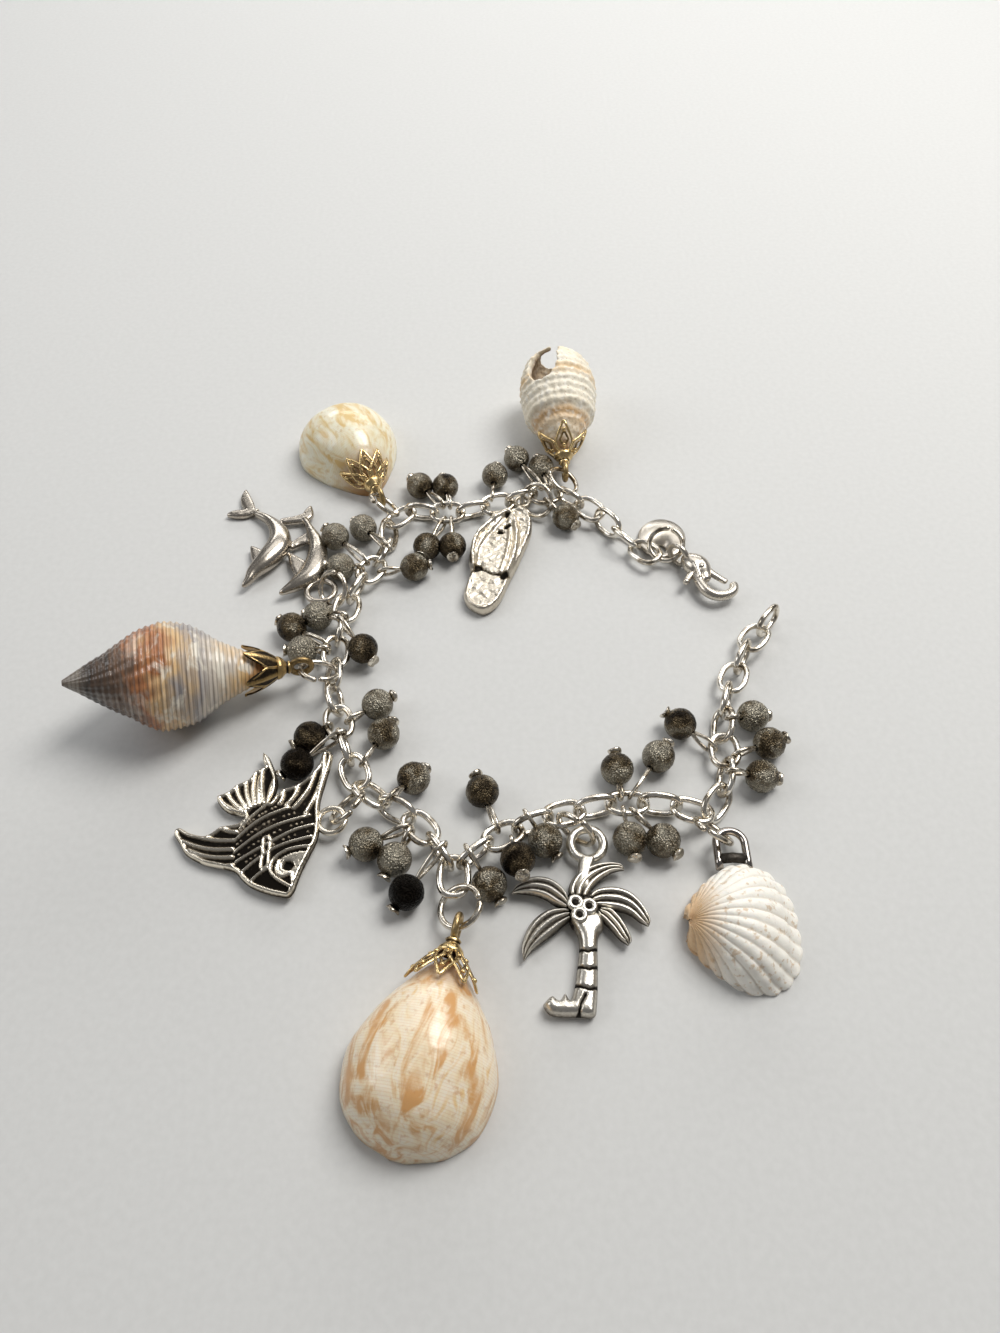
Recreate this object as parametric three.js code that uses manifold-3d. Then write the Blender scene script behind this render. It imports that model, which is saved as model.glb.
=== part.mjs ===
// Charm bracelet lying open on a flat surface: a silver cable chain with a lobster clasp and an oval tag,
// nine bunches of four rough beads on wire loops, four capped sea shells, a cockle shell on a glued bail,
// and a flip-flop, a pair of dolphins, an angelfish and a palm tree cast in pewter.
// Millimetres, +Z up. X runs to the right and Y away from the viewer; the origin ends up below the middle.
import * as THREE from 'three';
import { mergeVertices } from 'three/addons/utils/BufferGeometryUtils.js';
import Module from 'manifold-3d';

const wasm = await Module();
wasm.setup();
const { Manifold } = wasm;

// Chain
const LINK_LENGTH = 5.3;
const LINK_WIDTH = 4.0;
const LINK_WIRE = 0.8;
const LINK_BITE = 0.16; // how deep a link's wire sits in its neighbour's
const LEFT_LINKS = 28;
const RIGHT_LINKS = 17;
const LINK_SEGMENTS = 10;
const WIRE_SIDES = 5;

// Jump rings
const RING_DIAMETER = 5.5;
const RING_WIRE = 0.72;
const RING_BITE = 0.14; // how deep a jump ring sits in the wire of its link

// Beads on wire loops
const BEAD_DIAMETER = 4.0;
const BEAD_SIDES = 10;
const BEAD_BANDS = 4;
const PIN_WIRE = 0.52;
const PIN_SIDES = 4;
const PIN_SEGMENTS = 6;
const LOOP_PLAY = 0.26; // room round the link's wire inside a bead's loop
const LOOP_SUNK = 0.5; // how far a loop's wires run into the bead

// Clasp and tag
const CLASP_LENGTH = 9.6; // from the middle of the eye to the middle of the nose's wire
const CLASP_BODY_WIDTH = 3.5;
const CLASP_THICKNESS = 2.8;
const CLASP_HOOK_WIRE = 1.5;
const CLASP_EYE_DIAMETER = 3.9;
const CLASP_EYE_WIRE = 0.8;
const LEVER_THICKNESS = 1.0;
const LEVER_PLAY = 0.15;
const PIVOT_DIAMETER = 0.8;
const TAG_LENGTH = 8.0;
const TAG_WIDTH = 7.0;
const TAG_THICKNESS = 0.5;
const TAG_HOLE = 1.9;
const TAG_MARGIN = 0.7; // metal between the tag's hole and its edge
const TAG_PLACE = { x: -0.6, y: 0.9, z: 0.5, heading: 76 }; // its hole, from the middle of the clasp's ring

// Cast charms
const CAST_THICKNESS = 1.5;
const RELIEF_HEIGHT = 0.45;
const FISH_SIZE = 20;
const FISH_EYE_DIAMETER = 3.9;
const FISH_EYE_WIRE = 0.68;
const PALM_HEIGHT = 17;
const PALM_EYE_DIAMETER = 4.9;
const PALM_EYE_WIRE = 1.1;
const NUT_DIAMETER = 1.9;
const DOLPHIN_SIZE = 20;
const DOLPHIN_EYE_DIAMETER = 4.8;
const DOLPHIN_EYE_WIRE = 0.84;
const SANDAL_LENGTH = 19.5;
const SANDAL_THICKNESS = 1.6;
const SANDAL_EYE_DIAMETER = 2.6;
const SANDAL_EYE_WIRE = 0.6;
const STRAP_HEIGHT = 1.1;
const STRAP_WIDTH = 1.0;

// Shells, their caps and the cockle's bail
const BIG_SHELL_LENGTH = 19.9;
const BIG_SHELL_WIDTH = 15.8;
const BIG_SHELL_HEIGHT = 7.6;
const SMALL_SHELL_LENGTH = 18.5;
const SMALL_SHELL_WIDTH = 15.6;
const SMALL_SHELL_HEIGHT = 8.2;
const WHELK_LENGTH = 25.2;
const WHELK_WIDTH = 13.4;
const HORN_LENGTH = 18.8;
const HORN_WIDTH = 12.0;
const HORN_MOUTH_TURN = -30; // degrees round its length from the top
const COCKLE_LENGTH = 12.6;
const COCKLE_WIDTH = 14.6;
const COCKLE_HEIGHT = 5.6;
const COCKLE_DROP = 2.2; // its rim below the middle of the bail's hole
const DOME_DROP = 2.6; // a dome's rim below the middle of its cap's eye
const SHELL_WALL = 1.3;
const SHELL_SIDES = 10;
const CAP_LENGTH = 5.6;
const CAP_EYE_DIAMETER = 3.4;
const CAP_EYE_WIRE = 0.8;
const PETAL_THICKNESS = 0.5;
const CAP_GAP = 0.2; // between a shell and the cap glued over its tip
const BAIL_WIDTH = 4.2;
const BAIL_THICKNESS = 1.0;
const BAIL_HOLE = 2.4;

// The chosen points of the chain's route: x, y. The left run goes from the clasp round to the front point,
// the right run from there to the free end.
const LEFT_ROUTE = [
  [22.3, 16.8], [18.3, 21.2], [13.2, 27.2], [8.6, 30.6], [2.9, 29.2], [-4.6, 26.6], [-9.0, 26.0],
  [-13.2, 26.8], [-16.0, 24.2], [-16.6, 19.6], [-17.7, 15.4], [-20.6, 10.0], [-21.6, 3.0], [-21.9, -2.6],
  [-20.7, -10.3], [-17.9, -18.4], [-15.4, -22.4], [-10.3, -25.2], [-6.5, -30.2],
];
const RIGHT_ROUTE = [
  [-4.3, -31.0], [-0.4, -27.9], [4.1, -25.8], [8.2, -24.5], [12.2, -23.5], [16.1, -23.2], [20.4, -23.6],
  [24.7, -24.6], [26.9, -21.6], [27.7, -16.3], [27.8, -12.2], [29.1, -7.8], [31.6, -2.0], [34.3, 2.3],
  [39.0, 8.0],
];
const FRONT_LINK = { x: -5.2, y: -32.7, heading: -90 };

// How far the even-numbered links lean from flat, in degrees: link number, lean. Odd ones stand across them.
const LEANS = [
  [1, 78], [4, -12], [11, -12], [15, 78], [19, 78], [22, 0], [24, 20], [25, 55], [27, 78], [28, 90],
  [30, 90], [31, 80], [37, 76], [40, -8], [42, 78], [47, 80],
];

// Beads in their bunches: bunch, link, place along the link as a share of its straight part, then the
// middle of the bead, x and y, and its lift where it lies on something.
const BEADS = [
  [1, 6, 0.9, 2.6, 38.4], [1, 8, 0.4, -0.8, 34.4], [1, 6, -1.3, 6.4, 36.3], [1, 6, 0, 9.8, 25.2],
  [2, 10, 1.4, -12.3, 32.1], [2, 10, -0.6, -8.4, 31.9], [2, 10, 0.9, -10.6, 19.1], [2, 10, -0.9, -6.9, 19.2],
  [3, 15, -1.3, -24.0, 20.6, 0.5], [3, 14, 0.2, -20.2, 22.9], [3, 15, 1.4, -22.7, 15.0], [3, 15, -1.1, -12.2, 15.0],
  [4, 18, -1.5, -24.9, 5.9], [4, 19, -1.5, -28.2, 3.8], [4, 19, 0, -26.3, -0.2], [4, 18, 0, -18.2, -0.2, 0.4],
  [5, 22, 0, -15.6, -9.0], [5, 24, -1.1, -14.5, -13.5], [5, 22, 0.8, -23.6, -14.0], [5, 23, -1.4, -24.7, -17.9],
  [6, 26, -1.3, -10.4, -19.9], [6, 27, -1.4, -15.4, -28.7], [6, 27, 0, -12.0, -30.6], [6, 28, 0.7, -10.4, -34.6],
  [7, 31, 0, -2.1, -21.7], [7, 30, -1.4, -1.2, -33.6], [7, 31, 0.7, 2.0, -30.9, 0.7], [7, 32, -0.8, 5.2, -28.2],
  [8, 35, -0.9, 14.2, -18.6], [8, 35, 1.4, 19.4, -16.8], [8, 35, -0.9, 15.0, -28.0], [8, 35, 1.1, 18.8, -28.2],
  [9, 40, 1.1, 22.6, -12.0], [9, 41, 0.7, 31.9, -10.8], [9, 40, -0.9, 33.3, -14.9], [9, 39, 0, 31.6, -19.6],
];

// Charms on their jump rings: link, place along it as above, the ring's heading, the distance from the
// link to the charm's eye as a share of the ring's diameter, and the ring's lean from lying flat.
const HANGERS = {
  clasp: { link: 1, slide: 0, heading: -20, reach: 0.9, lean: 30 },
  horn: { link: 5, slide: 0.9, heading: 88, reach: 0.99, lean: 30 },
  sandal: { link: 7, slide: -0.3, heading: -100, reach: 0.25, lean: 16 },
  smallShell: { link: 12, slide: -0.4, heading: 131, reach: 0.88, lean: 45 },
  dolphins: { link: 17, slide: -1.2, heading: 140, reach: 0.9, lean: -52 },
  whelk: { link: 20, slide: 0.4, heading: 178, reach: 0.985, lean: 26 },
  fish: { link: 25, slide: -1.2, heading: 225, reach: 0.99, lean: 49 },
  bigShell: { link: 29, slide: 0, heading: -83, reach: 0.97, lean: 24 },
  palm: { link: 33, slide: -1.2, heading: -40, reach: 0.84, lean: 90 },
  cockle: { link: 37, slide: 1.2, heading: -47, reach: 0.99, lean: -52 },
};

// How each charm lies on the surface: the direction it is tipped towards, by how much, and its heading.
const LIES = {
  horn: { towards: 0, tip: -14, heading: 93 },
  sandal: { towards: -106, tip: 3, heading: 0 },
  smallShell: { towards: 0, tip: 0, heading: 116 },
  dolphins: { towards: 135, tip: 2, heading: 0 },
  whelk: { towards: 0, tip: -11, heading: 194 },
  fish: { towards: 195, tip: 3, heading: 0 },
  bigShell: { towards: 0, tip: 0, heading: -103 },
  palm: { towards: -94, tip: 2, heading: 0 },
  cockle: { towards: -90, tip: 0, heading: 0 },
  clasp: { towards: 0, tip: 2, heading: -47 },
};

// Finishes seen in the photograph.
const silver = { color: 0xc9bfa6, roughness: 0.28, metalness: 1 };
const pewter = { color: 0x8d8370, roughness: 0.38, metalness: 1 };
const darkSilver = { color: 0x6f6a60, roughness: 0.35, metalness: 1 };
const agedBrass = { color: 0x7a6434, roughness: 0.4, metalness: 1 };
const roughSilver = { color: 0xb5a683, roughness: 0.55, metalness: 1 };
const creamShell = { color: 0xdcc79a, roughness: 0.45, metalness: 0 };
const bandedShell = { color: 0xa87342, roughness: 0.5, metalness: 0 };
const whiteShell = { color: 0xe6dfcf, roughness: 0.6, metalness: 0 };

const turn = THREE.MathUtils.degToRad;
const vec = (x, y, z = 0) => new THREE.Vector3(x, y, z);
const headingOf = (degrees) => vec(Math.cos(turn(degrees)), Math.sin(turn(degrees)));
const UP = vec(0, 0, 1);
const WELD = 1e-5;
const FINEST = 0.01; // edges shorter than this are merged away

// A closed mesh as a solid that can be joined and cut.
function solidOf(geometry) {
  const bare = geometry.clone();
  bare.deleteAttribute('normal');
  bare.deleteAttribute('uv');
  const merged = mergeVertices(bare, WELD);
  const corners = merged.index.array;
  const faces = [];
  for (let i = 0; i < corners.length; i += 3) {
    const [a, b, c] = corners.slice(i, i + 3);
    if (a !== b && b !== c && c !== a) faces.push(a, b, c);
  }
  const vertProperties = new Float32Array(merged.attributes.position.array);
  return new Manifold(new wasm.Mesh({ numProp: 3, vertProperties, triVerts: new Uint32Array(faces) }));
}

// The placement with its origin, its X axis and a direction that its Y axis leans to.
function placed(origin, xAxis, yHint) {
  const x = xAxis.clone().normalize();
  const z = x.clone().cross(yHint).normalize();
  const y = z.clone().cross(x);
  return new THREE.Matrix4().makeBasis(x, y, z).setPosition(origin);
}

const moved = (solid, matrix) => solid.transform(matrix.elements);
const shifted = (solid, x, y, z = 0) => solid.translate([x, y, z]);
const joined = (solids) => Manifold.union(solids);

// Solids that touch as one body, without the tiny pockets that round wires shut in where they cross.
const fused = (solids) => joined(solids).decompose().sort((a, b) => b.volume() - a.volume())[0];

// A loop of round wire in the XY plane, pulled out along X to its outer length.
function wireLoop(length, width, wire, sides = WIRE_SIDES, segments = LINK_SEGMENTS) {
  const geometry = new THREE.TorusGeometry((width - wire) / 2, wire / 2, sides, segments);
  const corner = geometry.attributes.position;
  const pull = (length - width) / 2;
  for (let i = 0; i < corner.count; i += 1) {
    const x = corner.getX(i);
    if (Math.abs(x) > WELD) corner.setX(i, x + Math.sign(x) * pull);
  }
  return solidOf(geometry);
}

// A closed skin over rings of equal count, with a fan over each end.
function skin(rings) {
  const count = rings[0].length;
  const middle = (ring) => ring.reduce((sum, p) => sum.add(p), vec(0, 0)).divideScalar(count);
  const points = [middle(rings[0]), ...rings.flat(), middle(rings.at(-1))];
  const faces = [];
  const last = points.length - 1;
  for (let i = 0; i < count; i += 1) {
    const next = (i + 1) % count;
    faces.push(0, 1 + next, 1 + i);
    for (let r = 0; r + 1 < rings.length; r += 1) {
      const low = 1 + r * count;
      const high = low + count;
      faces.push(low + i, low + next, high + next, low + i, high + next, high + i);
    }
    faces.push(last, last - count + i, last - count + next);
  }
  const geometry = new THREE.BufferGeometry().setFromPoints(points);
  geometry.setIndex(faces);
  const solid = solidOf(geometry);
  return solid.volume() < 0 ? skin(rings.map((ring) => [...ring].reverse())) : solid;
}

// A flat plate of the given outline and optional holes, its middle plane at z = 0.
function plate(outline, thickness, holes = []) {
  const shape = new THREE.Shape(outline);
  shape.holes = holes.map((hole) => new THREE.Path(hole));
  const geometry = new THREE.ExtrudeGeometry(shape, { depth: thickness, bevelEnabled: false, steps: 1 });
  return solidOf(geometry.translate(0, 0, -thickness / 2));
}

const flatPoints = (rows, scale) => rows.map(([x, y]) => new THREE.Vector2(x * scale, y * scale));

function smoothOutline(rows, scale, count) {
  const curve = new THREE.CatmullRomCurve3(rows.map(([x, y]) => vec(x * scale, y * scale)), true);
  return curve.getSpacedPoints(count).slice(0, count).map((p) => new THREE.Vector2(p.x, p.y));
}

// A straight raised rib between two points of a plate.
function rib(from, to, width, base, height) {
  const middle = from.clone().add(to).multiplyScalar(0.5);
  const run = to.clone().sub(from);
  const half = run.length() / 2;
  const outline = flatPoints([[-half, 0], [0, -width / 2], [half, 0], [0, width / 2]], 1);
  const bar = shifted(plate(outline, height), 0, 0, base + height / 2);
  return moved(bar, placed(middle, run, UP.clone().cross(run)));
}

// A round body swept along a smooth spine: rows give x, y, z, half width across and half height.
function tapered(rows, scale, sides) {
  const spine = new THREE.CatmullRomCurve3(rows.map(([x, y, z]) => vec(x * scale, y * scale, z)));
  const rings = rows.map(([, , , across, high], i) => {
    const share = i / (rows.length - 1);
    const middle = spine.getPoint(share);
    const side = UP.clone().cross(spine.getTangent(share)).normalize();
    return Array.from({ length: sides }, (_, k) => {
      const angle = (2 * Math.PI * k) / sides;
      return middle.clone().addScaledVector(side, Math.cos(angle) * across * scale)
        .add(vec(0, 0, Math.sin(angle) * high * scale));
    });
  });
  return skin(rings);
}

// Chain: joints a pitch apart along the route, then a link between each two.
const linkBend = (LINK_WIDTH - LINK_WIRE) / 2;
const linkStraight = (LINK_LENGTH - LINK_WIDTH) / 2;
const linkOverlap = LINK_WIRE - LINK_BITE;
const linkPitch = LINK_LENGTH - LINK_WIRE - linkOverlap;

function leanAt(number) {
  const next = Math.max(1, LEANS.findIndex(([link]) => link >= number));
  const [fromLink, fromLean] = LEANS[next - 1];
  const [toLink, toLean] = LEANS[next];
  return THREE.MathUtils.mapLinear(number, fromLink, toLink, fromLean, toLean);
}

function standingHeight(number) {
  const lean = turn(leanAt(number));
  return LINK_WIRE / 2 + linkBend * Math.max(Math.abs(Math.sin(lean)), Math.abs(Math.cos(lean)));
}

function jointsAlong(route, count, firstNumber) {
  const samples = new THREE.CatmullRomCurve3(route.map(([x, y]) => vec(x, y))).getPoints(60 * route.length);
  const beyond = samples.at(-1).clone().sub(samples.at(-2)).setLength(linkPitch * count);
  samples.push(samples.at(-1).clone().add(beyond));
  const joints = [samples[0].clone()];
  let s = 1;
  while (joints.length <= count) {
    const from = joints.at(-1);
    while (samples[s].distanceTo(from) < linkPitch) s += 1;
    const short = linkPitch - samples[s - 1].distanceTo(from);
    const step = samples[s].clone().sub(samples[s - 1]).setLength(Math.max(short, 0));
    joints.push(samples[s - 1].clone().add(step));
  }
  joints.forEach((joint, i) => joint.setZ(standingHeight(firstNumber + i)));
  return joints;
}

function linkBetween(from, to, number, lean) {
  const along = to.clone().sub(from).normalize();
  const left = UP.clone().cross(along).normalize();
  const raised = along.clone().cross(left);
  const across = left.multiplyScalar(Math.cos(lean)).addScaledVector(raised, Math.sin(lean));
  return { number, middle: from.clone().add(to).multiplyScalar(0.5), along, across };
}

function linksAlong(route, count, firstNumber) {
  const joints = jointsAlong(route, count, firstNumber);
  return joints.slice(1).map((to, i) => {
    const number = firstNumber + i;
    const lean = turn(leanAt(number) + (number % 2 ? 90 : 0));
    return linkBetween(joints[i], to, number, lean);
  });
}

const leftLinks = linksAlong(LEFT_ROUTE, LEFT_LINKS, 1);
const frontNumber = LEFT_LINKS + 1;
const frontMiddle = vec(FRONT_LINK.x, FRONT_LINK.y, standingHeight(frontNumber + 1));
const frontRun = headingOf(FRONT_LINK.heading).multiplyScalar(linkPitch / 2);
const frontLink = linkBetween(frontMiddle.clone().sub(frontRun), frontMiddle.clone().add(frontRun), frontNumber, 0);
const rightLinks = linksAlong(RIGHT_ROUTE, RIGHT_LINKS, frontNumber + 1);
const allLinks = new Map([...leftLinks, frontLink, ...rightLinks].map((link) => [link.number, link]));

const linkWire = wireLoop(LINK_LENGTH, LINK_WIDTH, LINK_WIRE);
const linkSolid = (link) => moved(linkWire, placed(link.middle, link.along, link.across));

// The point on a link's long wire on the side that faces a target, or on its upper wire where it stands.
function wirePoint(link, slide, target) {
  const facing = link.across.dot(target.clone().sub(link.middle));
  const standing = Math.abs(link.across.z) > 0.7;
  const side = link.across.clone().multiplyScalar(Math.sign(standing ? link.across.z : facing));
  const point = link.middle.clone().addScaledVector(side, linkBend);
  return { side, point: point.addScaledVector(link.along, slide * linkStraight) };
}

// Bead and its wire loop, soldered as one.
function beadDrop([, number, slide, x, y, lift = 0]) {
  const link = allLinks.get(number);
  const bead = vec(x, y, BEAD_DIAMETER / 2 + lift);
  const { point } = wirePoint(link, slide, bead);
  const out = bead.clone().sub(point).normalize();
  const turned = placed(point, out, link.along.clone().cross(out));
  const start = -(LINK_WIRE / 2 + LOOP_PLAY / 2 + PIN_WIRE);
  const end = bead.distanceTo(point) - BEAD_DIAMETER / 2 + LOOP_SUNK;
  const loopWidth = LINK_WIRE + 2 * (PIN_WIRE + LOOP_PLAY);
  const length = Math.max(end - start, loopWidth);
  const loop = shifted(wireLoop(length, loopWidth, PIN_WIRE, PIN_SIDES, PIN_SEGMENTS), start + length / 2, 0);
  const ball = new THREE.SphereGeometry(BEAD_DIAMETER / 2, BEAD_SIDES, BEAD_BANDS).rotateZ(-Math.PI / 2);
  return moved(joined([loop, shifted(solidOf(ball), bead.distanceTo(point), 0)]), turned);
}

// A charm is made with its eye at the origin. Settled, it is tipped about its eye and stands on the surface.
function settled(pieces, { towards, tip, heading }) {
  const tipped = new THREE.Matrix4().makeRotationAxis(UP.clone().cross(headingOf(towards)), turn(tip));
  const matrix = new THREE.Matrix4().makeRotationZ(turn(heading)).multiply(tipped);
  const lowest = Math.min(...Object.values(pieces).map((solid) => moved(solid, matrix).boundingBox().min[2]));
  return { pieces, matrix, eyeHeight: -lowest };
}

// The jump ring from a link to a charm's eye, and the charm's pieces moved to hang on it.
function hung(hanger, charm) {
  const link = allLinks.get(hanger.link);
  const ringBend = (RING_DIAMETER - RING_WIRE) / 2;
  const outward = headingOf(hanger.heading);
  const { side, point } = hanger.link === frontNumber
    ? { side: link.along, point: link.middle.clone().addScaledVector(link.along, (LINK_LENGTH - LINK_WIRE) / 2) }
    : wirePoint(link, hanger.slide, link.middle.clone().add(outward));
  const inside = point.clone().addScaledVector(side, RING_BITE - (LINK_WIRE + RING_WIRE) / 2);
  const chord = hanger.reach * 2 * ringBend;
  const rise = charm.eyeHeight - inside.z;
  const eye = inside.clone().addScaledVector(outward, Math.sqrt(chord ** 2 - rise ** 2)).setZ(charm.eyeHeight);
  const run = eye.clone().sub(inside).normalize();
  const left = UP.clone().cross(run).normalize();
  const raised = run.clone().cross(left);
  const lean = turn(hanger.lean);
  const inPlane = left.multiplyScalar(Math.cos(lean)).addScaledVector(raised, Math.sin(lean));
  if (inPlane.z < 0) inPlane.negate();
  const offset = Math.sqrt(ringBend ** 2 - (chord / 2) ** 2);
  const middle = inside.clone().add(eye).multiplyScalar(0.5).addScaledVector(inPlane, offset);
  const ring = moved(wireLoop(RING_DIAMETER, RING_DIAMETER, RING_WIRE), placed(middle, run, inPlane));
  const place = new THREE.Matrix4().setPosition(eye).multiply(charm.matrix);
  const pieces = Object.fromEntries(Object.entries(charm.pieces).map(([name, s]) => [name, moved(s, place)]));
  return { ring, pieces, ringMiddle: middle };
}

const flatEye = (diameter, wire) => wireLoop(diameter, diameter, wire);

// Angelfish: a thin plate with swept fins, a raised body, and ribs on the fins and tail. Shares of its size.
const FISH_OUTLINE = [
  [-0.065, -0.03], [-0.08, 0.11], [-0.06, 0.26], [-0.04, 0.45], [-0.10, 0.46], [-0.13, 0.33], [-0.22, 0.25],
  [-0.33, 0.20], [-0.38, 0.12], [-0.36, 0.29], [-0.44, 0.45], [-0.48, 0.47], [-0.45, 0.37], [-0.54, 0.28],
  [-0.65, 0.19], [-0.72, 0.16], [-0.62, 0.06], [-0.52, 0.03], [-0.55, -0.01], [-0.65, -0.03], [-0.73, -0.09],
  [-0.90, -0.03], [-0.92, -0.07], [-0.83, -0.20], [-0.70, -0.27], [-0.52, -0.32], [-0.42, -0.41],
  [-0.25, -0.47], [-0.17, -0.47], [-0.14, -0.33], [-0.07, -0.13],
];
const FISH_BODY = [
  [-0.12, -0.04], [-0.28, 0.08], [-0.42, 0.06], [-0.52, -0.04], [-0.51, -0.29], [-0.38, -0.39],
  [-0.20, -0.43], [-0.15, -0.31],
];
const FISH_RIBS = [
  [-0.10, 0.04, -0.06, 0.40], [-0.15, 0.04, -0.12, 0.30], [-0.21, 0.09, -0.20, 0.24], [-0.39, 0.15, -0.43, 0.40],
  [-0.42, 0.13, -0.55, 0.26], [-0.44, 0.09, -0.66, 0.16], [-0.55, -0.09, -0.88, -0.06],
  [-0.55, -0.17, -0.85, -0.14], [-0.54, -0.24, -0.80, -0.21],
];

function makeFish() {
  const base = plate(flatPoints(FISH_OUTLINE, FISH_SIZE), CAST_THICKNESS - RELIEF_HEIGHT);
  const top = (CAST_THICKNESS - RELIEF_HEIGHT) / 2;
  const body = shifted(plate(flatPoints(FISH_BODY, FISH_SIZE), RELIEF_HEIGHT + top), 0, 0, (RELIEF_HEIGHT + top) / 2);
  const ribs = FISH_RIBS.map(([x1, y1, x2, y2]) => {
    const ends = [vec(x1 * FISH_SIZE, y1 * FISH_SIZE), vec(x2 * FISH_SIZE, y2 * FISH_SIZE)];
    return rib(...ends, FISH_SIZE * 0.035, 0, top + RELIEF_HEIGHT * 0.8);
  });
  const pit = new THREE.CylinderGeometry(FISH_SIZE * 0.03, FISH_SIZE * 0.03, RELIEF_HEIGHT, 8).rotateX(Math.PI / 2);
  const pupil = shifted(solidOf(pit), -0.21 * FISH_SIZE, -0.3 * FISH_SIZE, top + RELIEF_HEIGHT);
  const eye = flatEye(FISH_EYE_DIAMETER, FISH_EYE_WIRE);
  return joined([base, body, ...ribs, eye]).subtract(pupil);
}

// Palm tree: fronds as curved leaves with a raised rib each, nuts, a notched trunk and a root with bumps.
// A frond's outer and inner edges run from the crown to its tip, as shares of the tree's height below its eye.
const FRONDS = [
  {
    outer: [[-0.14, -0.37], [-0.11, -0.25], [0.03, -0.155], [0.14, -0.14], [0.24, -0.19]],
    inner: [[-0.02, -0.39], [0.055, -0.29], [0.16, -0.21], [0.24, -0.19]],
  },
  {
    outer: [[0, -0.37], [0.11, -0.31], [0.27, -0.34], [0.36, -0.46], [0.37, -0.58]],
    inner: [[0.034, -0.455], [0.134, -0.473], [0.26, -0.51], [0.37, -0.58]],
  },
  {
    outer: [[0.07, -0.464], [0.15, -0.48], [0.21, -0.55], [0.253, -0.66], [0.228, -0.704]],
    inner: [[0.04, -0.5], [0.088, -0.566], [0.177, -0.671], [0.228, -0.704]],
  },
  {
    outer: [[-0.146, -0.468], [-0.272, -0.466], [-0.404, -0.575], [-0.454, -0.724], [-0.439, -0.802]],
    inner: [[-0.141, -0.545], [-0.245, -0.633], [-0.383, -0.737], [-0.439, -0.802]],
  },
  {
    outer: [[-0.147, -0.394], [-0.2, -0.285], [-0.349, -0.235], [-0.483, -0.297], [-0.514, -0.355]],
    inner: [[-0.159, -0.473], [-0.287, -0.403], [-0.434, -0.361], [-0.514, -0.355]],
  },
];
const TRUNK = [
  [-0.12, -0.56], [-0.093, -0.65], [-0.087, -0.716], [-0.11, -0.88], [-0.135, -0.99], [-0.158, -1.04],
  [-0.187, -1.007], [-0.223, -1.045], [-0.268, -1.02], [-0.324, -1.08], [-0.298, -1.125], [-0.253, -1.144],
  [-0.014, -1.148], [0.006, -1.07], [0.02, -0.92], [0.03, -0.72], [0.043, -0.642], [0.078, -0.58], [0.06, -0.5],
];
const PALM_CROWN = [
  [-0.06, -0.1], [0.06, -0.1], [0.03, -0.3], [0.02, -0.38], [0.06, -0.45], [0.07, -0.56], [-0.12, -0.6],
  [-0.16, -0.5], [-0.15, -0.38], [-0.08, -0.3],
];
const TRUNK_NOTCHES = [-0.757, -0.87, -0.99];
const NUTS = [[-0.103, -0.444], [-0.016, -0.468], [-0.08, -0.526]];

function frondOutline({ outer, inner }, scale) {
  const along = (edge, count) => new THREE.CatmullRomCurve3(edge.map(([x, y]) => vec(x * scale, y * scale)))
    .getPoints(count).map((p) => new THREE.Vector2(p.x, p.y));
  return [...along(outer, 4), ...along(inner, 3).reverse().slice(1)];
}

function makePalm() {
  const rise = CAST_THICKNESS / 2;
  const fronds = FRONDS.flatMap((frond) => {
    const outline = frondOutline(frond, PALM_HEIGHT);
    const from = outline[1].clone().lerp(outline[6], 0.5);
    const to = outline[3].clone().lerp(outline[5], 0.5);
    const ridge = rib(vec(from.x, from.y), vec(to.x, to.y), PALM_HEIGHT * 0.05, 0, rise + RELIEF_HEIGHT);
    return [plate(outline, CAST_THICKNESS), ridge];
  });
  const trunk = plate(flatPoints(TRUNK, PALM_HEIGHT), CAST_THICKNESS + RELIEF_HEIGHT);
  const nutShape = new THREE.CylinderGeometry(NUT_DIAMETER / 2, NUT_DIAMETER / 2, rise + 2 * RELIEF_HEIGHT, 6);
  const nut = shifted(solidOf(nutShape.rotateX(Math.PI / 2)), 0, 0, rise / 2 + RELIEF_HEIGHT);
  const nuts = NUTS.map(([x, y]) => shifted(nut, x * PALM_HEIGHT, y * PALM_HEIGHT));
  const crown = plate(flatPoints(PALM_CROWN, PALM_HEIGHT), CAST_THICKNESS * 0.9);
  const notches = TRUNK_NOTCHES.map((y) => {
    const cut = new THREE.BoxGeometry(PALM_HEIGHT * 0.3, PALM_HEIGHT * 0.012, RELIEF_HEIGHT);
    return shifted(solidOf(cut), -0.04 * PALM_HEIGHT, y * PALM_HEIGHT, (CAST_THICKNESS + RELIEF_HEIGHT) / 2);
  });
  const tree = joined([...fronds, trunk, crown, ...nuts, flatEye(PALM_EYE_DIAMETER, PALM_EYE_WIRE)]);
  return tree.subtract(joined(notches));
}

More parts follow.
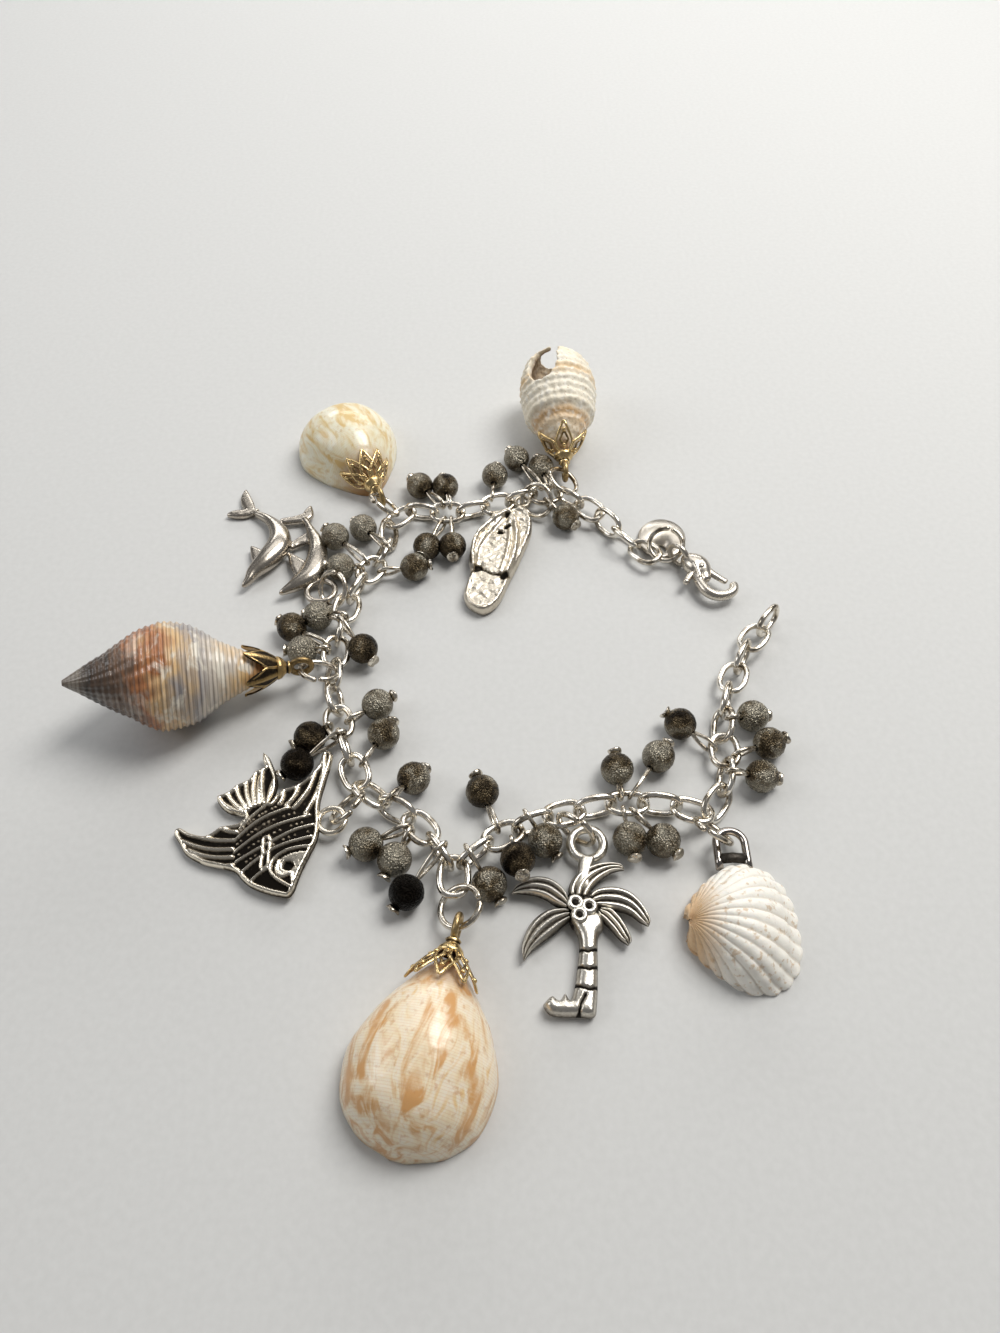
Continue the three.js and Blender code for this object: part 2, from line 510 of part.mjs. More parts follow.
// Dolphins: two leaping bodies joined belly to back by a fin and a fluke. Rows: x, y, height, half sizes.
const LEFT_DOLPHIN = [
  [-0.56, 0.04, 0.3, 0.012, 0.02], [-0.50, 0.17, 0.5, 0.05, 0.05], [-0.42, 0.29, 0.7, 0.08, 0.07],
  [-0.36, 0.42, 0.7, 0.09, 0.075], [-0.37, 0.56, 0.6, 0.075, 0.06], [-0.47, 0.72, 0.4, 0.04, 0.04],
  [-0.62, 0.83, 0.2, 0.022, 0.025],
];
const RIGHT_DOLPHIN = [
  [-0.29, -0.03, 0.2, 0.012, 0.02], [-0.175, 0.055, 0.4, 0.055, 0.05], [-0.085, 0.16, 0.5, 0.082, 0.06],
  [-0.06, 0.32, 0.5, 0.075, 0.06], [-0.08, 0.46, 0.4, 0.06, 0.05], [-0.15, 0.62, 0.3, 0.032, 0.035],
  [-0.22, 0.76, 0.2, 0.02, 0.025],
];
const DOLPHIN_FINS = [
  [[-0.59, 0.80], [-0.72, 0.86], [-0.71, 1.09], [-0.61, 0.92]],
  [[-0.57, 0.86], [-0.66, 0.79], [-0.81, 0.80], [-0.70, 0.86]],
  [[-0.44, 0.38], [-0.57, 0.46], [-0.51, 0.27]],
  [[-0.19, 0.73], [-0.25, 0.79], [-0.18, 0.88], [-0.15, 0.77]],
  [[-0.18, 0.72], [-0.40, 0.70], [-0.39, 0.75], [-0.21, 0.80]],
  [[-0.15, 0.60], [-0.30, 0.44], [-0.27, 0.42], [-0.15, 0.50]],
  [[-0.10, 0.25], [-0.28, 0.38], [-0.26, 0.30], [-0.19, 0.13]],
  [[-0.16, 0.1], [-0.07, 0.055], [-0.04, 0.1], [-0.07, 0.2]],
];

function makeDolphins() {
  const bodies = [LEFT_DOLPHIN, RIGHT_DOLPHIN].map((rows) => tapered(rows, DOLPHIN_SIZE, 6));
  const fins = DOLPHIN_FINS.map((fin) => plate(flatPoints(fin, DOLPHIN_SIZE), CAST_THICKNESS * 0.55));
  return joined([...bodies, ...fins, flatEye(DOLPHIN_EYE_DIAMETER, DOLPHIN_EYE_WIRE)]);
}

// Flip-flop: a sole with a worn footbed, a strap from the toe post to both sides, and an eye at the toe.
const SOLE = [
  [-0.02, -0.09], [0.037, -0.118], [0.067, -0.199], [0.068, -0.315], [0.044, -0.42], [-0.038, -0.65],
  [-0.112, -0.831], [-0.189, -1.014], [-0.242, -1.068], [-0.301, -1.091], [-0.378, -1.053], [-0.434, -0.919],
  [-0.396, -0.757], [-0.405, -0.608], [-0.384, -0.42], [-0.348, -0.342], [-0.268, -0.235], [-0.237, -0.154],
  [-0.186, -0.122], [-0.097, -0.109],
];
const STRAPS = [
  [[-0.11, -0.17], [-0.34, -0.33], [-0.37, -0.65]],
  [[-0.1, -0.17], [-0.03, -0.36], [-0.12, -0.74]],
];
const SANDAL_NECK = [[-0.05, -0.045], [0.05, -0.045], [0.04, -0.15], [-0.07, -0.15]];

function makeSandal() {
  const sole = plate(smoothOutline(SOLE, SANDAL_LENGTH, 16), SANDAL_THICKNESS);
  const straps = STRAPS.map((rows) => {
    const [a, b, c] = rows.map(([x, y]) => vec(x * SANDAL_LENGTH, y * SANDAL_LENGTH, SANDAL_THICKNESS / 2));
    const crown = b.clone().setZ(SANDAL_THICKNESS / 2 + STRAP_HEIGHT);
    const half = STRAP_WIDTH / 2;
    const section = new THREE.Shape([[-half, -half], [half, -half], [half, half], [-half, half]]
      .map(([x, y]) => new THREE.Vector2(x, y)));
    const extrudePath = new THREE.QuadraticBezierCurve3(a, crown, c);
    return solidOf(new THREE.ExtrudeGeometry(section, { steps: 4, bevelEnabled: false, extrudePath }));
  });
  const neck = plate(flatPoints(SANDAL_NECK, SANDAL_LENGTH), SANDAL_EYE_WIRE);
  return joined([sole, ...straps, neck, flatEye(SANDAL_EYE_DIAMETER, SANDAL_EYE_WIRE)]);
}

// Dome shells lie open side down. Rows along the length from the tip: place, half width, height, as shares.
const ROUND_DOME = [
  [0, 0.06, 0.22], [0.06, 0.26, 0.46], [0.18, 0.52, 0.74], [0.36, 0.82, 0.94], [0.56, 1, 1], [0.76, 0.94, 0.9],
  [0.92, 0.62, 0.58], [1, 0.1, 0.08],
];
const COCKLE_DOME = [
  [0, 0.08, 0.16], [0.05, 0.26, 0.5], [0.24, 0.66, 0.9], [0.5, 0.96, 1], [0.76, 0.94, 0.72], [0.93, 0.66, 0.34],
  [1, 0.32, 0.1],
];

// The dome along +X from the tip; rib is the height of its radiating ribs, as a share.
function dome(rows, { length, width, height, arcPoints, ribHeight = 0, shrink = 0, floor = 0 }) {
  const rings = rows.map(([place, half, high]) => {
    const x = shrink + place * (length - 2 * shrink);
    const reach = Math.max(half * (width / 2 - shrink), 0.05);
    const rise = Math.max(high * height - shrink, 0.1);
    const arc = Array.from({ length: arcPoints }, (_, k) => {
      const angle = (Math.PI * k) / (arcPoints - 1);
      const swell = 1 + (k % 2 ? ribHeight : 0);
      return vec(x, Math.cos(angle) * reach * swell, Math.sin(angle) * rise * swell);
    });
    return [...arc, vec(x, -reach, floor), vec(x, reach, floor)];
  });
  return skin(rings);
}

// A shell turned on its own length: rows of place along it and half width, as shares of length and width.
function turnedShell(rows, length, width) {
  const rings = rows.map(([place, half]) => Array.from({ length: SHELL_SIDES }, (_, k) => {
    const angle = (2 * Math.PI * (k + 0.5)) / SHELL_SIDES;
    const radius = half * (width / 2);
    return vec(place * length, Math.cos(angle) * radius, Math.sin(angle) * radius);
  }));
  return skin(rings);
}

const WHELK_ROWS = [
  [0, 0.13], [0.12, 0.32], [0.26, 0.58], [0.42, 0.94], [0.54, 1], [0.64, 0.86], [0.76, 0.6], [0.9, 0.28],
  [1, 0.05],
];
const HORN_ROWS = [
  [0, 0.1], [0.14, 0.42], [0.28, 0.72], [0.48, 0.95], [0.66, 1], [0.86, 0.86], [1, 0.5],
];

function hollowed(rows, size, ribHeight = 0, arcPoints = 9) {
  const floor = -0.01 * size.height;
  const outer = dome(rows, { ...size, arcPoints, ribHeight });
  const inner = dome(rows, { ...size, arcPoints: 5, shrink: SHELL_WALL, floor: floor - SHELL_WALL });
  return outer.subtract(inner);
}

// Openwork cap: a collar with one face for each petal, kite-shaped petals cut through, and an eye on edge.
// Made with its eye at the origin and its petals opening towards +X.
const COLLAR_BACK = 0.8;
const COLLAR_FRONT = 1.35;
const COLLAR_LENGTH = 1.7;
const KITE = [[0, -0.07], [0.46, -0.25], [1, 0], [0.46, 0.25], [0, 0.07]];
const KITE_HOLE = [[0.28, 0], [0.5, 0.13], [0.74, 0], [0.5, -0.13]];

function openCap(petals, flare) {
  const back = (CAP_EYE_DIAMETER - CAP_EYE_WIRE) / 2;
  const collar = new THREE.CylinderGeometry(COLLAR_BACK, COLLAR_FRONT, COLLAR_LENGTH, 5).rotateZ(Math.PI / 2);
  const petal = plate(flatPoints(KITE, CAP_LENGTH), PETAL_THICKNESS, [flatPoints(KITE_HOLE, CAP_LENGTH)]);
  const leaves = petals.map((angle) => {
    const open = new THREE.Matrix4().makeRotationY(-turn(flare));
    const out = new THREE.Matrix4().makeTranslation(back + COLLAR_LENGTH * 0.6, 0, COLLAR_BACK * 0.75);
    const round = new THREE.Matrix4().makeRotationX(turn(angle));
    return moved(petal, round.multiply(out).multiply(open));
  });
  const edge = new THREE.Matrix4().makeRotationX(Math.PI / 2);
  const eye = moved(wireLoop(CAP_EYE_DIAMETER, CAP_EYE_DIAMETER, CAP_EYE_WIRE, PIN_SIDES, 8), edge);
  return joined([...leaves, shifted(solidOf(collar), back + COLLAR_LENGTH / 2, 0), eye]);
}

// A shell whose tip sits in a cap: the cap's eye is at the origin and the shell runs along +X.
function capped(shell, petals, flare, drop) {
  const start = (CAP_EYE_DIAMETER - CAP_EYE_WIRE) / 2 + COLLAR_LENGTH + CAP_GAP;
  return { shell: shifted(shell, start, 0, -drop), cap: openCap(petals, flare) };
}

const ALL_ROUND = [0, 72, 144, 216, 288];
const TOP_FAN = [-80, -40, 0, 40, 80];

function makeBigShell() {
  const size = { length: BIG_SHELL_LENGTH, width: BIG_SHELL_WIDTH, height: BIG_SHELL_HEIGHT };
  return capped(hollowed(ROUND_DOME, size), TOP_FAN, 42, DOME_DROP);
}

function makeSmallShell() {
  const size = { length: SMALL_SHELL_LENGTH, width: SMALL_SHELL_WIDTH, height: SMALL_SHELL_HEIGHT };
  return capped(hollowed(ROUND_DOME, size), TOP_FAN, 42, DOME_DROP);
}

function makeWhelk() {
  const shell = turnedShell(WHELK_ROWS, WHELK_LENGTH, WHELK_WIDTH);
  const mouthSize = { long: WHELK_LENGTH * 0.26, wide: WHELK_WIDTH * 0.16, deep: WHELK_WIDTH * 0.3 };
  const mouth = solidOf(new THREE.SphereGeometry(1, 8, 5).scale(mouthSize.long, mouthSize.wide, mouthSize.deep));
  const turned = new THREE.Matrix4().makeRotationX(turn(62));
  const lip = moved(shifted(mouth, WHELK_LENGTH * 0.4, 0, WHELK_WIDTH * 0.42), turned);
  return capped(shell.subtract(lip), ALL_ROUND, 30, 0);
}

function makeHorn() {
  const shell = turnedShell(HORN_ROWS, HORN_LENGTH, HORN_WIDTH);
  const hollow = solidOf(new THREE.SphereGeometry(1, 8, 5)
    .scale(HORN_LENGTH * 0.36, HORN_WIDTH * 0.5 - SHELL_WALL, HORN_WIDTH * 0.5 - SHELL_WALL));
  const mouth = solidOf(new THREE.CylinderGeometry(HORN_WIDTH * 0.2, HORN_WIDTH * 0.26, HORN_WIDTH, 7)
    .rotateX(Math.PI / 2));
  const round = new THREE.Matrix4().makeRotationX(turn(HORN_MOUTH_TURN));
  const opening = moved(shifted(mouth, 0, 0, HORN_WIDTH * 0.5), round);
  const carved = shell.subtract(shifted(hollow, HORN_LENGTH * 0.68, 0))
    .subtract(shifted(opening, HORN_LENGTH * 0.74, 0));
  return capped(carved, ALL_ROUND, 39, 0);
}

// Cockle: a ribbed valve with its beak to the left, and a bail glued on its far edge.
function makeCockle() {
  const size = { length: COCKLE_LENGTH, width: COCKLE_WIDTH, height: COCKLE_HEIGHT };
  const valve = hollowed(COCKLE_DOME, size, 0.06, 19);
  const drop = BAIL_HOLE / 2 + COCKLE_WIDTH * 0.56;
  const shell = shifted(valve, -COCKLE_LENGTH * 0.5, -drop, -COCKLE_DROP);
  const half = BAIL_WIDTH / 2;
  const arch = new THREE.Shape().moveTo(-half, -half * 1.3).lineTo(half, -half * 1.3).lineTo(half, 0);
  arch.absarc(0, 0, half, 0, Math.PI, false);
  arch.holes = [new THREE.Path().absarc(0, 0, BAIL_HOLE / 2, 0, 2 * Math.PI, true)];
  const geometry = new THREE.ExtrudeGeometry(arch, { depth: BAIL_THICKNESS, bevelEnabled: false, curveSegments: 5 });
  const bail = solidOf(geometry.translate(0, 0, -BAIL_THICKNESS / 2));
  const cover = shifted(dome(COCKLE_DOME, { ...size, width: size.width + 2 * CAP_GAP, arcPoints: 23, ribHeight: 0.06 }),
    -COCKLE_LENGTH * 0.5, -drop, -COCKLE_DROP);
  return { shell, bail: bail.subtract(cover) };
}

// Lobster clasp along +X from its eye: a body with a slot, a hook, and a pin that the lever turns on.
const pivotPlace = { x: CLASP_LENGTH * 0.42, y: 0 };

function makeClasp() {
  const reach = CLASP_LENGTH;
  const wide = CLASP_BODY_WIDTH / 2;
  const bodyRows = [[0.12, 0.36], [0.2, 0.7], [0.34, 1], [0.52, 1], [0.68, 0.62]];
  const body = skin(bodyRows.map(([x, half]) => Array.from({ length: 8 }, (_, k) => {
    const angle = (2 * Math.PI * (k + 0.5)) / 8;
    return vec(x * reach, Math.cos(angle) * half * wide, Math.sin(angle) * half * CLASP_THICKNESS / 2);
  })));
  const hookRows = [[0.58, -0.17], [0.66, -0.21], [0.8, -0.22], [0.95, -0.13], [1, 0.02], [0.97, 0.13], [0.93, 0.17]];
  const hook = tapered(hookRows.map(([x, y]) => [x, y, 0, CLASP_HOOK_WIRE / 2 / reach, CLASP_HOOK_WIRE / 2 / reach]),
    reach, 6);
  const slotHeight = LEVER_THICKNESS + 2 * LEVER_PLAY;
  const slot = (x1, x2, y1, y2) => shifted(solidOf(new THREE.BoxGeometry(x2 - x1, y2 - y1, slotHeight)),
    (x1 + x2) / 2, (y1 + y2) / 2);
  const tabSlot = slot(reach * 0.24, reach * 0.58, -wide * 2, 0);
  const armSlot = slot(reach * 0.24, reach * 0.9, -wide * 0.4, wide * 2);
  const pinShape = new THREE.CylinderGeometry(PIVOT_DIAMETER / 2, PIVOT_DIAMETER / 2, CLASP_THICKNESS * 0.8, 8);
  const pin = shifted(solidOf(pinShape.rotateX(Math.PI / 2)), pivotPlace.x, pivotPlace.y);
  const eye = moved(flatEye(CLASP_EYE_DIAMETER, CLASP_EYE_WIRE), new THREE.Matrix4().makeRotationX(Math.PI / 2));
  const frame = joined([body.subtract(tabSlot).subtract(armSlot), hook, eye, pin]);
  const fromPivot = (x, y) => [pivotPlace.x + x * reach, pivotPlace.y + y * reach];
  const outline = flatPoints([fromPivot(-0.1, -0.04), fromPivot(-0.06, -0.3), fromPivot(0.04, -0.32),
    fromPivot(0.05, -0.12), fromPivot(0.1, -0.02), fromPivot(0.36, 0.05), fromPivot(0.44, 0.09),
    fromPivot(0.42, 0.15), fromPivot(0.3, 0.19), fromPivot(0.06, 0.16), fromPivot(-0.08, 0.09)], 1);
  const hole = new THREE.Path().absarc(pivotPlace.x, pivotPlace.y, PIVOT_DIAMETER / 2 + LEVER_PLAY, 0, 2 * Math.PI, true);
  const lever = plate(outline, LEVER_THICKNESS, [hole.getPoints(5).slice(0, -1)]);
  return { clasp_body: frame, clasp_lever: lever };
}

// Oval tag with its ring hole at the origin, running along +X.
function makeTag() {
  const middle = TAG_LENGTH / 2 - TAG_HOLE / 2 - TAG_MARGIN;
  const oval = new THREE.EllipseCurve(middle, 0, TAG_LENGTH / 2, TAG_WIDTH / 2).getPoints(16).slice(0, -1);
  const hole = new THREE.EllipseCurve(0, 0, TAG_HOLE / 2, TAG_HOLE / 2, 0, 2 * Math.PI, true).getPoints(8).slice(0, -1);
  return plate(oval, TAG_THICKNESS, [hole]);
}

const group = new THREE.Group();

function addMesh(name, solid, finish) {
  const { vertProperties, triVerts } = solid.simplify(FINEST).getMesh();
  const geometry = new THREE.BufferGeometry();
  geometry.setAttribute('position', new THREE.BufferAttribute(vertProperties, 3));
  geometry.setIndex(new THREE.BufferAttribute(triVerts, 1));
  geometry.computeVertexNormals();
  const mesh = new THREE.Mesh(geometry, new THREE.MeshStandardMaterial(finish));
  mesh.name = name;
  group.add(mesh);
}

const MAKERS = {
  horn: makeHorn,
  sandal: () => ({ flip_flop: makeSandal() }),
  smallShell: makeSmallShell,
  dolphins: () => ({ dolphins: makeDolphins() }),
  whelk: makeWhelk,
  fish: () => ({ angelfish: makeFish() }),
  bigShell: makeBigShell,
  palm: () => ({ palm_tree: makePalm() }),
  cockle: makeCockle,
  clasp: makeClasp,
};
const charms = Object.fromEntries(Object.entries(MAKERS)
  .map(([name, make]) => [name, hung(HANGERS[name], settled(make(), LIES[name]))]));

const rings = Object.fromEntries(Object.entries(charms).map(([name, charm]) => [name, charm.ring]));
const ringsOf = (links) => Object.keys(HANGERS).filter((name) => links.some((l) => l.number === HANGERS[name].link))
  .map((name) => rings[name]);
addMesh('chain_left', fused([...leftLinks.map(linkSolid), ...ringsOf(leftLinks)]), silver);
const rightRun = [frontLink, ...rightLinks];
addMesh('chain_right', fused([...rightRun.map(linkSolid), ...ringsOf(rightRun)]), silver);

const counts = new Map();
BEADS.forEach((row) => {
  const place = (counts.get(row[0]) ?? 0) + 1;
  counts.set(row[0], place);
  addMesh(`bead_${row[0]}_${place}`, beadDrop(row), roughSilver);
});

const ringMiddle = charms.clasp.ringMiddle;
const tagHole = vec(ringMiddle.x + TAG_PLACE.x, ringMiddle.y + TAG_PLACE.y, TAG_PLACE.z);
const tagPlace = placed(tagHole, headingOf(TAG_PLACE.heading), headingOf(TAG_PLACE.heading + 90));
addMesh('clasp_body', charms.clasp.pieces.clasp_body, silver);
addMesh('clasp_lever', charms.clasp.pieces.clasp_lever, silver);
addMesh('tag', moved(makeTag(), tagPlace), silver);
addMesh('flip_flop', charms.sandal.pieces.flip_flop, pewter);
addMesh('dolphins', charms.dolphins.pieces.dolphins, darkSilver);
addMesh('angelfish', charms.fish.pieces.angelfish, darkSilver);
addMesh('palm_tree', charms.palm.pieces.palm_tree, pewter);
addMesh('cockle_shell', charms.cockle.pieces.shell, whiteShell);
addMesh('cockle_bail', charms.cockle.pieces.bail, darkSilver);
addMesh('horn_shell', charms.horn.pieces.shell, creamShell);
addMesh('horn_cap', charms.horn.pieces.cap, agedBrass);
addMesh('whelk_shell', charms.whelk.pieces.shell, bandedShell);
addMesh('whelk_cap', charms.whelk.pieces.cap, agedBrass);
addMesh('small_dome_shell', charms.smallShell.pieces.shell, creamShell);
addMesh('small_dome_cap', charms.smallShell.pieces.cap, agedBrass);
addMesh('big_dome_shell', charms.bigShell.pieces.shell, creamShell);
addMesh('big_dome_cap', charms.bigShell.pieces.cap, agedBrass);

// The origin goes below the middle of the whole bracelet, on the surface it lies on.
const box = new THREE.Box3().setFromObject(group);
const centre = box.getCenter(vec(0, 0));
const shift = vec(-centre.x, -centre.y, -box.min.z);
group.children.forEach((mesh) => mesh.geometry.translate(shift.x, shift.y, shift.z));

export default group;
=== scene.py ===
# Charm bracelet lying open on a pale surface: the looks of every piece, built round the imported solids.
# Lengths are in millimetres until a mesh is made. X runs right and Y away from the viewer, as in the frame.
import math

import bpy
import numpy as np
from mathutils import Matrix, Vector, noise
from mathutils.geometry import delaunay_2d_cdt


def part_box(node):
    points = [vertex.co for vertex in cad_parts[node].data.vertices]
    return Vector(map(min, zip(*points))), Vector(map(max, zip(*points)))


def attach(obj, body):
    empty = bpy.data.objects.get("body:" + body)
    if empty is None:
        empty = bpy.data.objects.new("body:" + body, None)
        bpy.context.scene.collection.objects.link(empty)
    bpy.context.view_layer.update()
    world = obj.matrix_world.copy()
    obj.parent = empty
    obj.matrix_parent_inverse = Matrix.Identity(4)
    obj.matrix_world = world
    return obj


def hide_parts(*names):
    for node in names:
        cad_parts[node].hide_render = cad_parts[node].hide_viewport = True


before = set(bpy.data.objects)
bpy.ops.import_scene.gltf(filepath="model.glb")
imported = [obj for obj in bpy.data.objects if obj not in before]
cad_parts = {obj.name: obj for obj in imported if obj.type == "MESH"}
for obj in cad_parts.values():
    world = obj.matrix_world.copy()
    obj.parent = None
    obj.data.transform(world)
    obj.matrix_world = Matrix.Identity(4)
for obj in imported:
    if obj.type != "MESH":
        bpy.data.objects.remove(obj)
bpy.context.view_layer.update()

MM = 0.001
UP = Vector((0, 0, 1))

# Chain
LINK_LENGTH = 5.3
LINK_WIDTH = 4.0
LINK_WIRE = 0.8
LINK_BITE = 0.16
LINK_ROUNDNESS = 2.5  # 2 is an ellipse, more is nearer to straight sides
LEFT_LINKS = 28
RIGHT_LINKS = 17

# Jump rings
RING_DIAMETER = 5.5
RING_WIRE = 0.72
RING_BITE = 0.14
RING_CUT = 5  # degrees left open where a ring's ends meet

# Beads on wire loops
BEAD_DIAMETER = 4.0
BEAD_HOLE = 0.95
BEAD_GRAIN = 0.05  # height of the rough surface
PIN_WIRE = 0.5
LOOP_PLAY = 0.26
HEAD_DIAMETER = 1.75
HEAD_DEPTH = 0.4

# Clasp and tag
CLASP_LENGTH = 9.6
CLASP_BODY_WIDTH = 3.5
CLASP_THICKNESS = 2.8
CLASP_HOOK_WIRE = 1.5
CLASP_EYE_DIAMETER = 3.9
CLASP_EYE_WIRE = 0.8
LEVER_THICKNESS = 1.0
PIVOT_DIAMETER = 0.8
TAG_LENGTH = 8.0
TAG_WIDTH = 7.0
TAG_THICKNESS = 0.5
TAG_HOLE = 1.9

# Cast charms
CAST_THICKNESS = 1.5
RELIEF_HEIGHT = 0.45
FISH_SIZE = 20
FISH_EYE_DIAMETER = 3.9
FISH_EYE_WIRE = 0.68
PALM_HEIGHT = 17
PALM_EYE_DIAMETER = 4.9
PALM_EYE_WIRE = 1.1
NUT_DIAMETER = 1.9
DOLPHIN_SIZE = 20
DOLPHIN_EYE_DIAMETER = 4.8
DOLPHIN_EYE_WIRE = 0.84
SANDAL_LENGTH = 19.5
SANDAL_THICKNESS = 1.6
SANDAL_EYE_DIAMETER = 2.6
SANDAL_EYE_WIRE = 0.6
STRAP_HEIGHT = 0.8

# Shells, their caps and the cockle's bail
BIG_SHELL = {"length": 19.9, "width": 15.8, "height": 7.6}
SMALL_SHELL = {"length": 18.5, "width": 15.6, "height": 8.2}
COCKLE = {"length": 12.6, "width": 14.6, "height": 5.6}
WHELK_LENGTH = 25.2
WHELK_WIDTH = 13.4
HORN_LENGTH = 18.8
HORN_WIDTH = 12.0
HORN_MOUTH_TURN = -30  # degrees round its length from the top
SHELL_WALL = 1.3
CAP_LENGTH = 5.6
CAP_EYE_DIAMETER = 3.4
CAP_EYE_WIRE = 0.8
CAP_GAP = 0.2
DOME_DROP = 2.6  # how far a dome's rim lies below its cap's eye
COCKLE_DROP = 2.2
COLLAR_BACK = 0.8
COLLAR_FRONT = 1.35
COLLAR_LENGTH = 1.7
BAIL_WIDTH = 4.2
BAIL_THICKNESS = 1.0
BAIL_HOLE = 2.4

# Camera, as the photograph was taken: place in the layout below, and pitch under the horizon.
CAMERA_PLACE = (0, -80, 102.1)
CAMERA_PITCH = 52.4
CAMERA_LENS = 26.0
CAMERA_SENSOR = 36.0

# The chosen points of the chain's route: x, y. The left run goes from the clasp round to the front point,
# the right run from there to the free end.
LEFT_ROUTE = [
    [22.3, 16.8], [18.3, 21.2], [13.2, 27.2], [8.6, 30.6], [2.9, 29.2], [-4.6, 26.6], [-9.0, 26.0],
    [-13.2, 26.8], [-16.0, 24.2], [-16.6, 19.6], [-17.7, 15.4], [-20.6, 10.0], [-21.6, 3.0], [-21.9, -2.6],
    [-20.7, -10.3], [-17.9, -18.4], [-15.4, -22.4], [-10.3, -25.2], [-6.5, -30.2],
]
RIGHT_ROUTE = [
    [-4.3, -31.0], [-0.4, -27.9], [4.1, -25.8], [8.2, -24.5], [12.2, -23.5], [16.1, -23.2], [20.4, -23.6],
    [24.7, -24.6], [26.9, -21.6], [27.7, -16.3], [27.8, -12.2], [29.1, -7.8], [31.6, -2.0], [34.3, 2.3],
    [39.0, 8.0],
]
FRONT_LINK = {"x": -5.2, "y": -32.7, "heading": -90}

# How far the even-numbered links lean from flat, in degrees: link number, lean. Odd ones stand across them.
LEANS = [
    [1, 78], [4, -12], [11, -12], [15, 78], [19, 78], [22, 0], [24, 20], [25, 55], [27, 78], [28, 90],
    [30, 90], [31, 80], [37, 76], [40, -8], [42, 78], [47, 80],
]

# Beads in their bunches: bunch, link, place along the link as a share of its straight part, then the
# middle of the bead, x and y, its darkness from 0 to 1, and its lift where it lies on something.
BEADS = [
    [1, 6, 0.9, 2.6, 38.4, 0.2, 0], [1, 8, 0.4, -0.8, 34.4, 0.2, 0], [1, 6, -1.3, 6.4, 36.3, 0.1, 0],
    [1, 6, 0, 9.8, 25.2, 0.3, 0],
    [2, 10, 1.4, -12.3, 32.1, 0.5, 0], [2, 10, -0.6, -8.4, 31.9, 0.4, 0], [2, 10, 0.9, -10.6, 19.1, 0.6, 0],
    [2, 10, -0.9, -6.9, 19.2, 0.7, 0],
    [3, 15, -1.3, -24.0, 20.6, 0.1, 0.5], [3, 14, 0.2, -20.2, 22.9, 0, 0], [3, 15, 1.4, -22.7, 15.0, 0.1, 0],
    [3, 15, -1.1, -12.2, 15.0, 0.3, 0],
    [4, 18, -1.5, -24.9, 5.9, 0, 0], [4, 19, -1.5, -28.2, 3.8, 0.5, 0], [4, 19, 0, -26.3, -0.2, 0, 0],
    [4, 18, 0, -18.2, -0.2, 0.6, 0.4],
    [5, 22, 0, -15.6, -9.0, 0.3, 0], [5, 24, -1.1, -14.5, -13.5, 0.3, 0], [5, 22, 0.8, -23.6, -14.0, 0.7, 0],
    [5, 23, -1.4, -24.7, -17.9, 0.9, 0],
    [6, 26, -1.3, -10.4, -19.9, 0.3, 0], [6, 27, -1.4, -15.4, -28.7, 0.4, 0],
    [6, 27, 0, -12.0, -30.6, 0.2, 0],
    [6, 28, 0.7, -10.4, -34.6, 1, 0],
    [7, 31, 0, -2.1, -21.7, 0.6, 0], [7, 30, -1.4, -1.2, -33.6, 0.4, 0], [7, 31, 0.7, 2.0, -30.9, 0.9, 0.7],
    [7, 32, -0.8, 5.2, -28.2, 0.3, 0],
    [8, 35, -0.9, 14.2, -18.6, 0.3, 0], [8, 35, 1.4, 19.4, -16.8, 0.4, 0], [8, 35, -0.9, 15.0, -28.0, 0.2, 0],
    [8, 35, 1.1, 18.8, -28.2, 0.3, 0],
    [9, 40, 1.1, 22.6, -12.0, 0.5, 0], [9, 41, 0.7, 31.9, -10.8, 0.1, 0], [9, 40, -0.9, 33.3, -14.9, 0.4, 0],
    [9, 39, 0, 31.6, -19.6, 0.2, 0],
]

# Charms on their jump rings: link, place along it as above, the ring's heading, the distance from the
# link to the charm's eye as a share of the ring's diameter, and the ring's lean from lying flat.
HANGERS = {
    "clasp": {"link": 1, "slide": 0, "heading": -20, "reach": 0.9, "lean": 30},
    "horn": {"link": 5, "slide": 0.9, "heading": 88, "reach": 0.99, "lean": 30},
    "sandal": {"link": 7, "slide": -0.3, "heading": -100, "reach": 0.25, "lean": 16},
    "small_shell": {"link": 12, "slide": -0.4, "heading": 131, "reach": 0.88, "lean": 45},
    "dolphins": {"link": 17, "slide": -1.2, "heading": 140, "reach": 0.9, "lean": -52},
    "whelk": {"link": 20, "slide": 0.4, "heading": 178, "reach": 0.985, "lean": 26},
    "fish": {"link": 25, "slide": -1.2, "heading": 225, "reach": 0.99, "lean": 49},
    "big_shell": {"link": 29, "slide": 0, "heading": -83, "reach": 0.97, "lean": 24},
    "palm": {"link": 33, "slide": -1.2, "heading": -40, "reach": 0.84, "lean": 90},
    "cockle": {"link": 37, "slide": 1.2, "heading": -47, "reach": 0.99, "lean": -52},
}

# How each charm lies on the surface: the direction it is tipped towards, by how much, and its heading
LIES = {
    "horn": {"towards": 0, "tip": -14, "heading": 93},
    "sandal": {"towards": -106, "tip": 3, "heading": 0},
    "small_shell": {"towards": 0, "tip": 0, "heading": 116},
    "dolphins": {"towards": 135, "tip": 2, "heading": 0},
    "whelk": {"towards": 0, "tip": -11, "heading": 194},
    "fish": {"towards": 195, "tip": 3, "heading": 0},
    "big_shell": {"towards": 0, "tip": 0, "heading": -103},
    "palm": {"towards": -94, "tip": 2, "heading": 0},
    "cockle": {"towards": -90, "tip": 0, "heading": 0},
    "clasp": {"towards": 0, "tip": 2, "heading": -47},
}


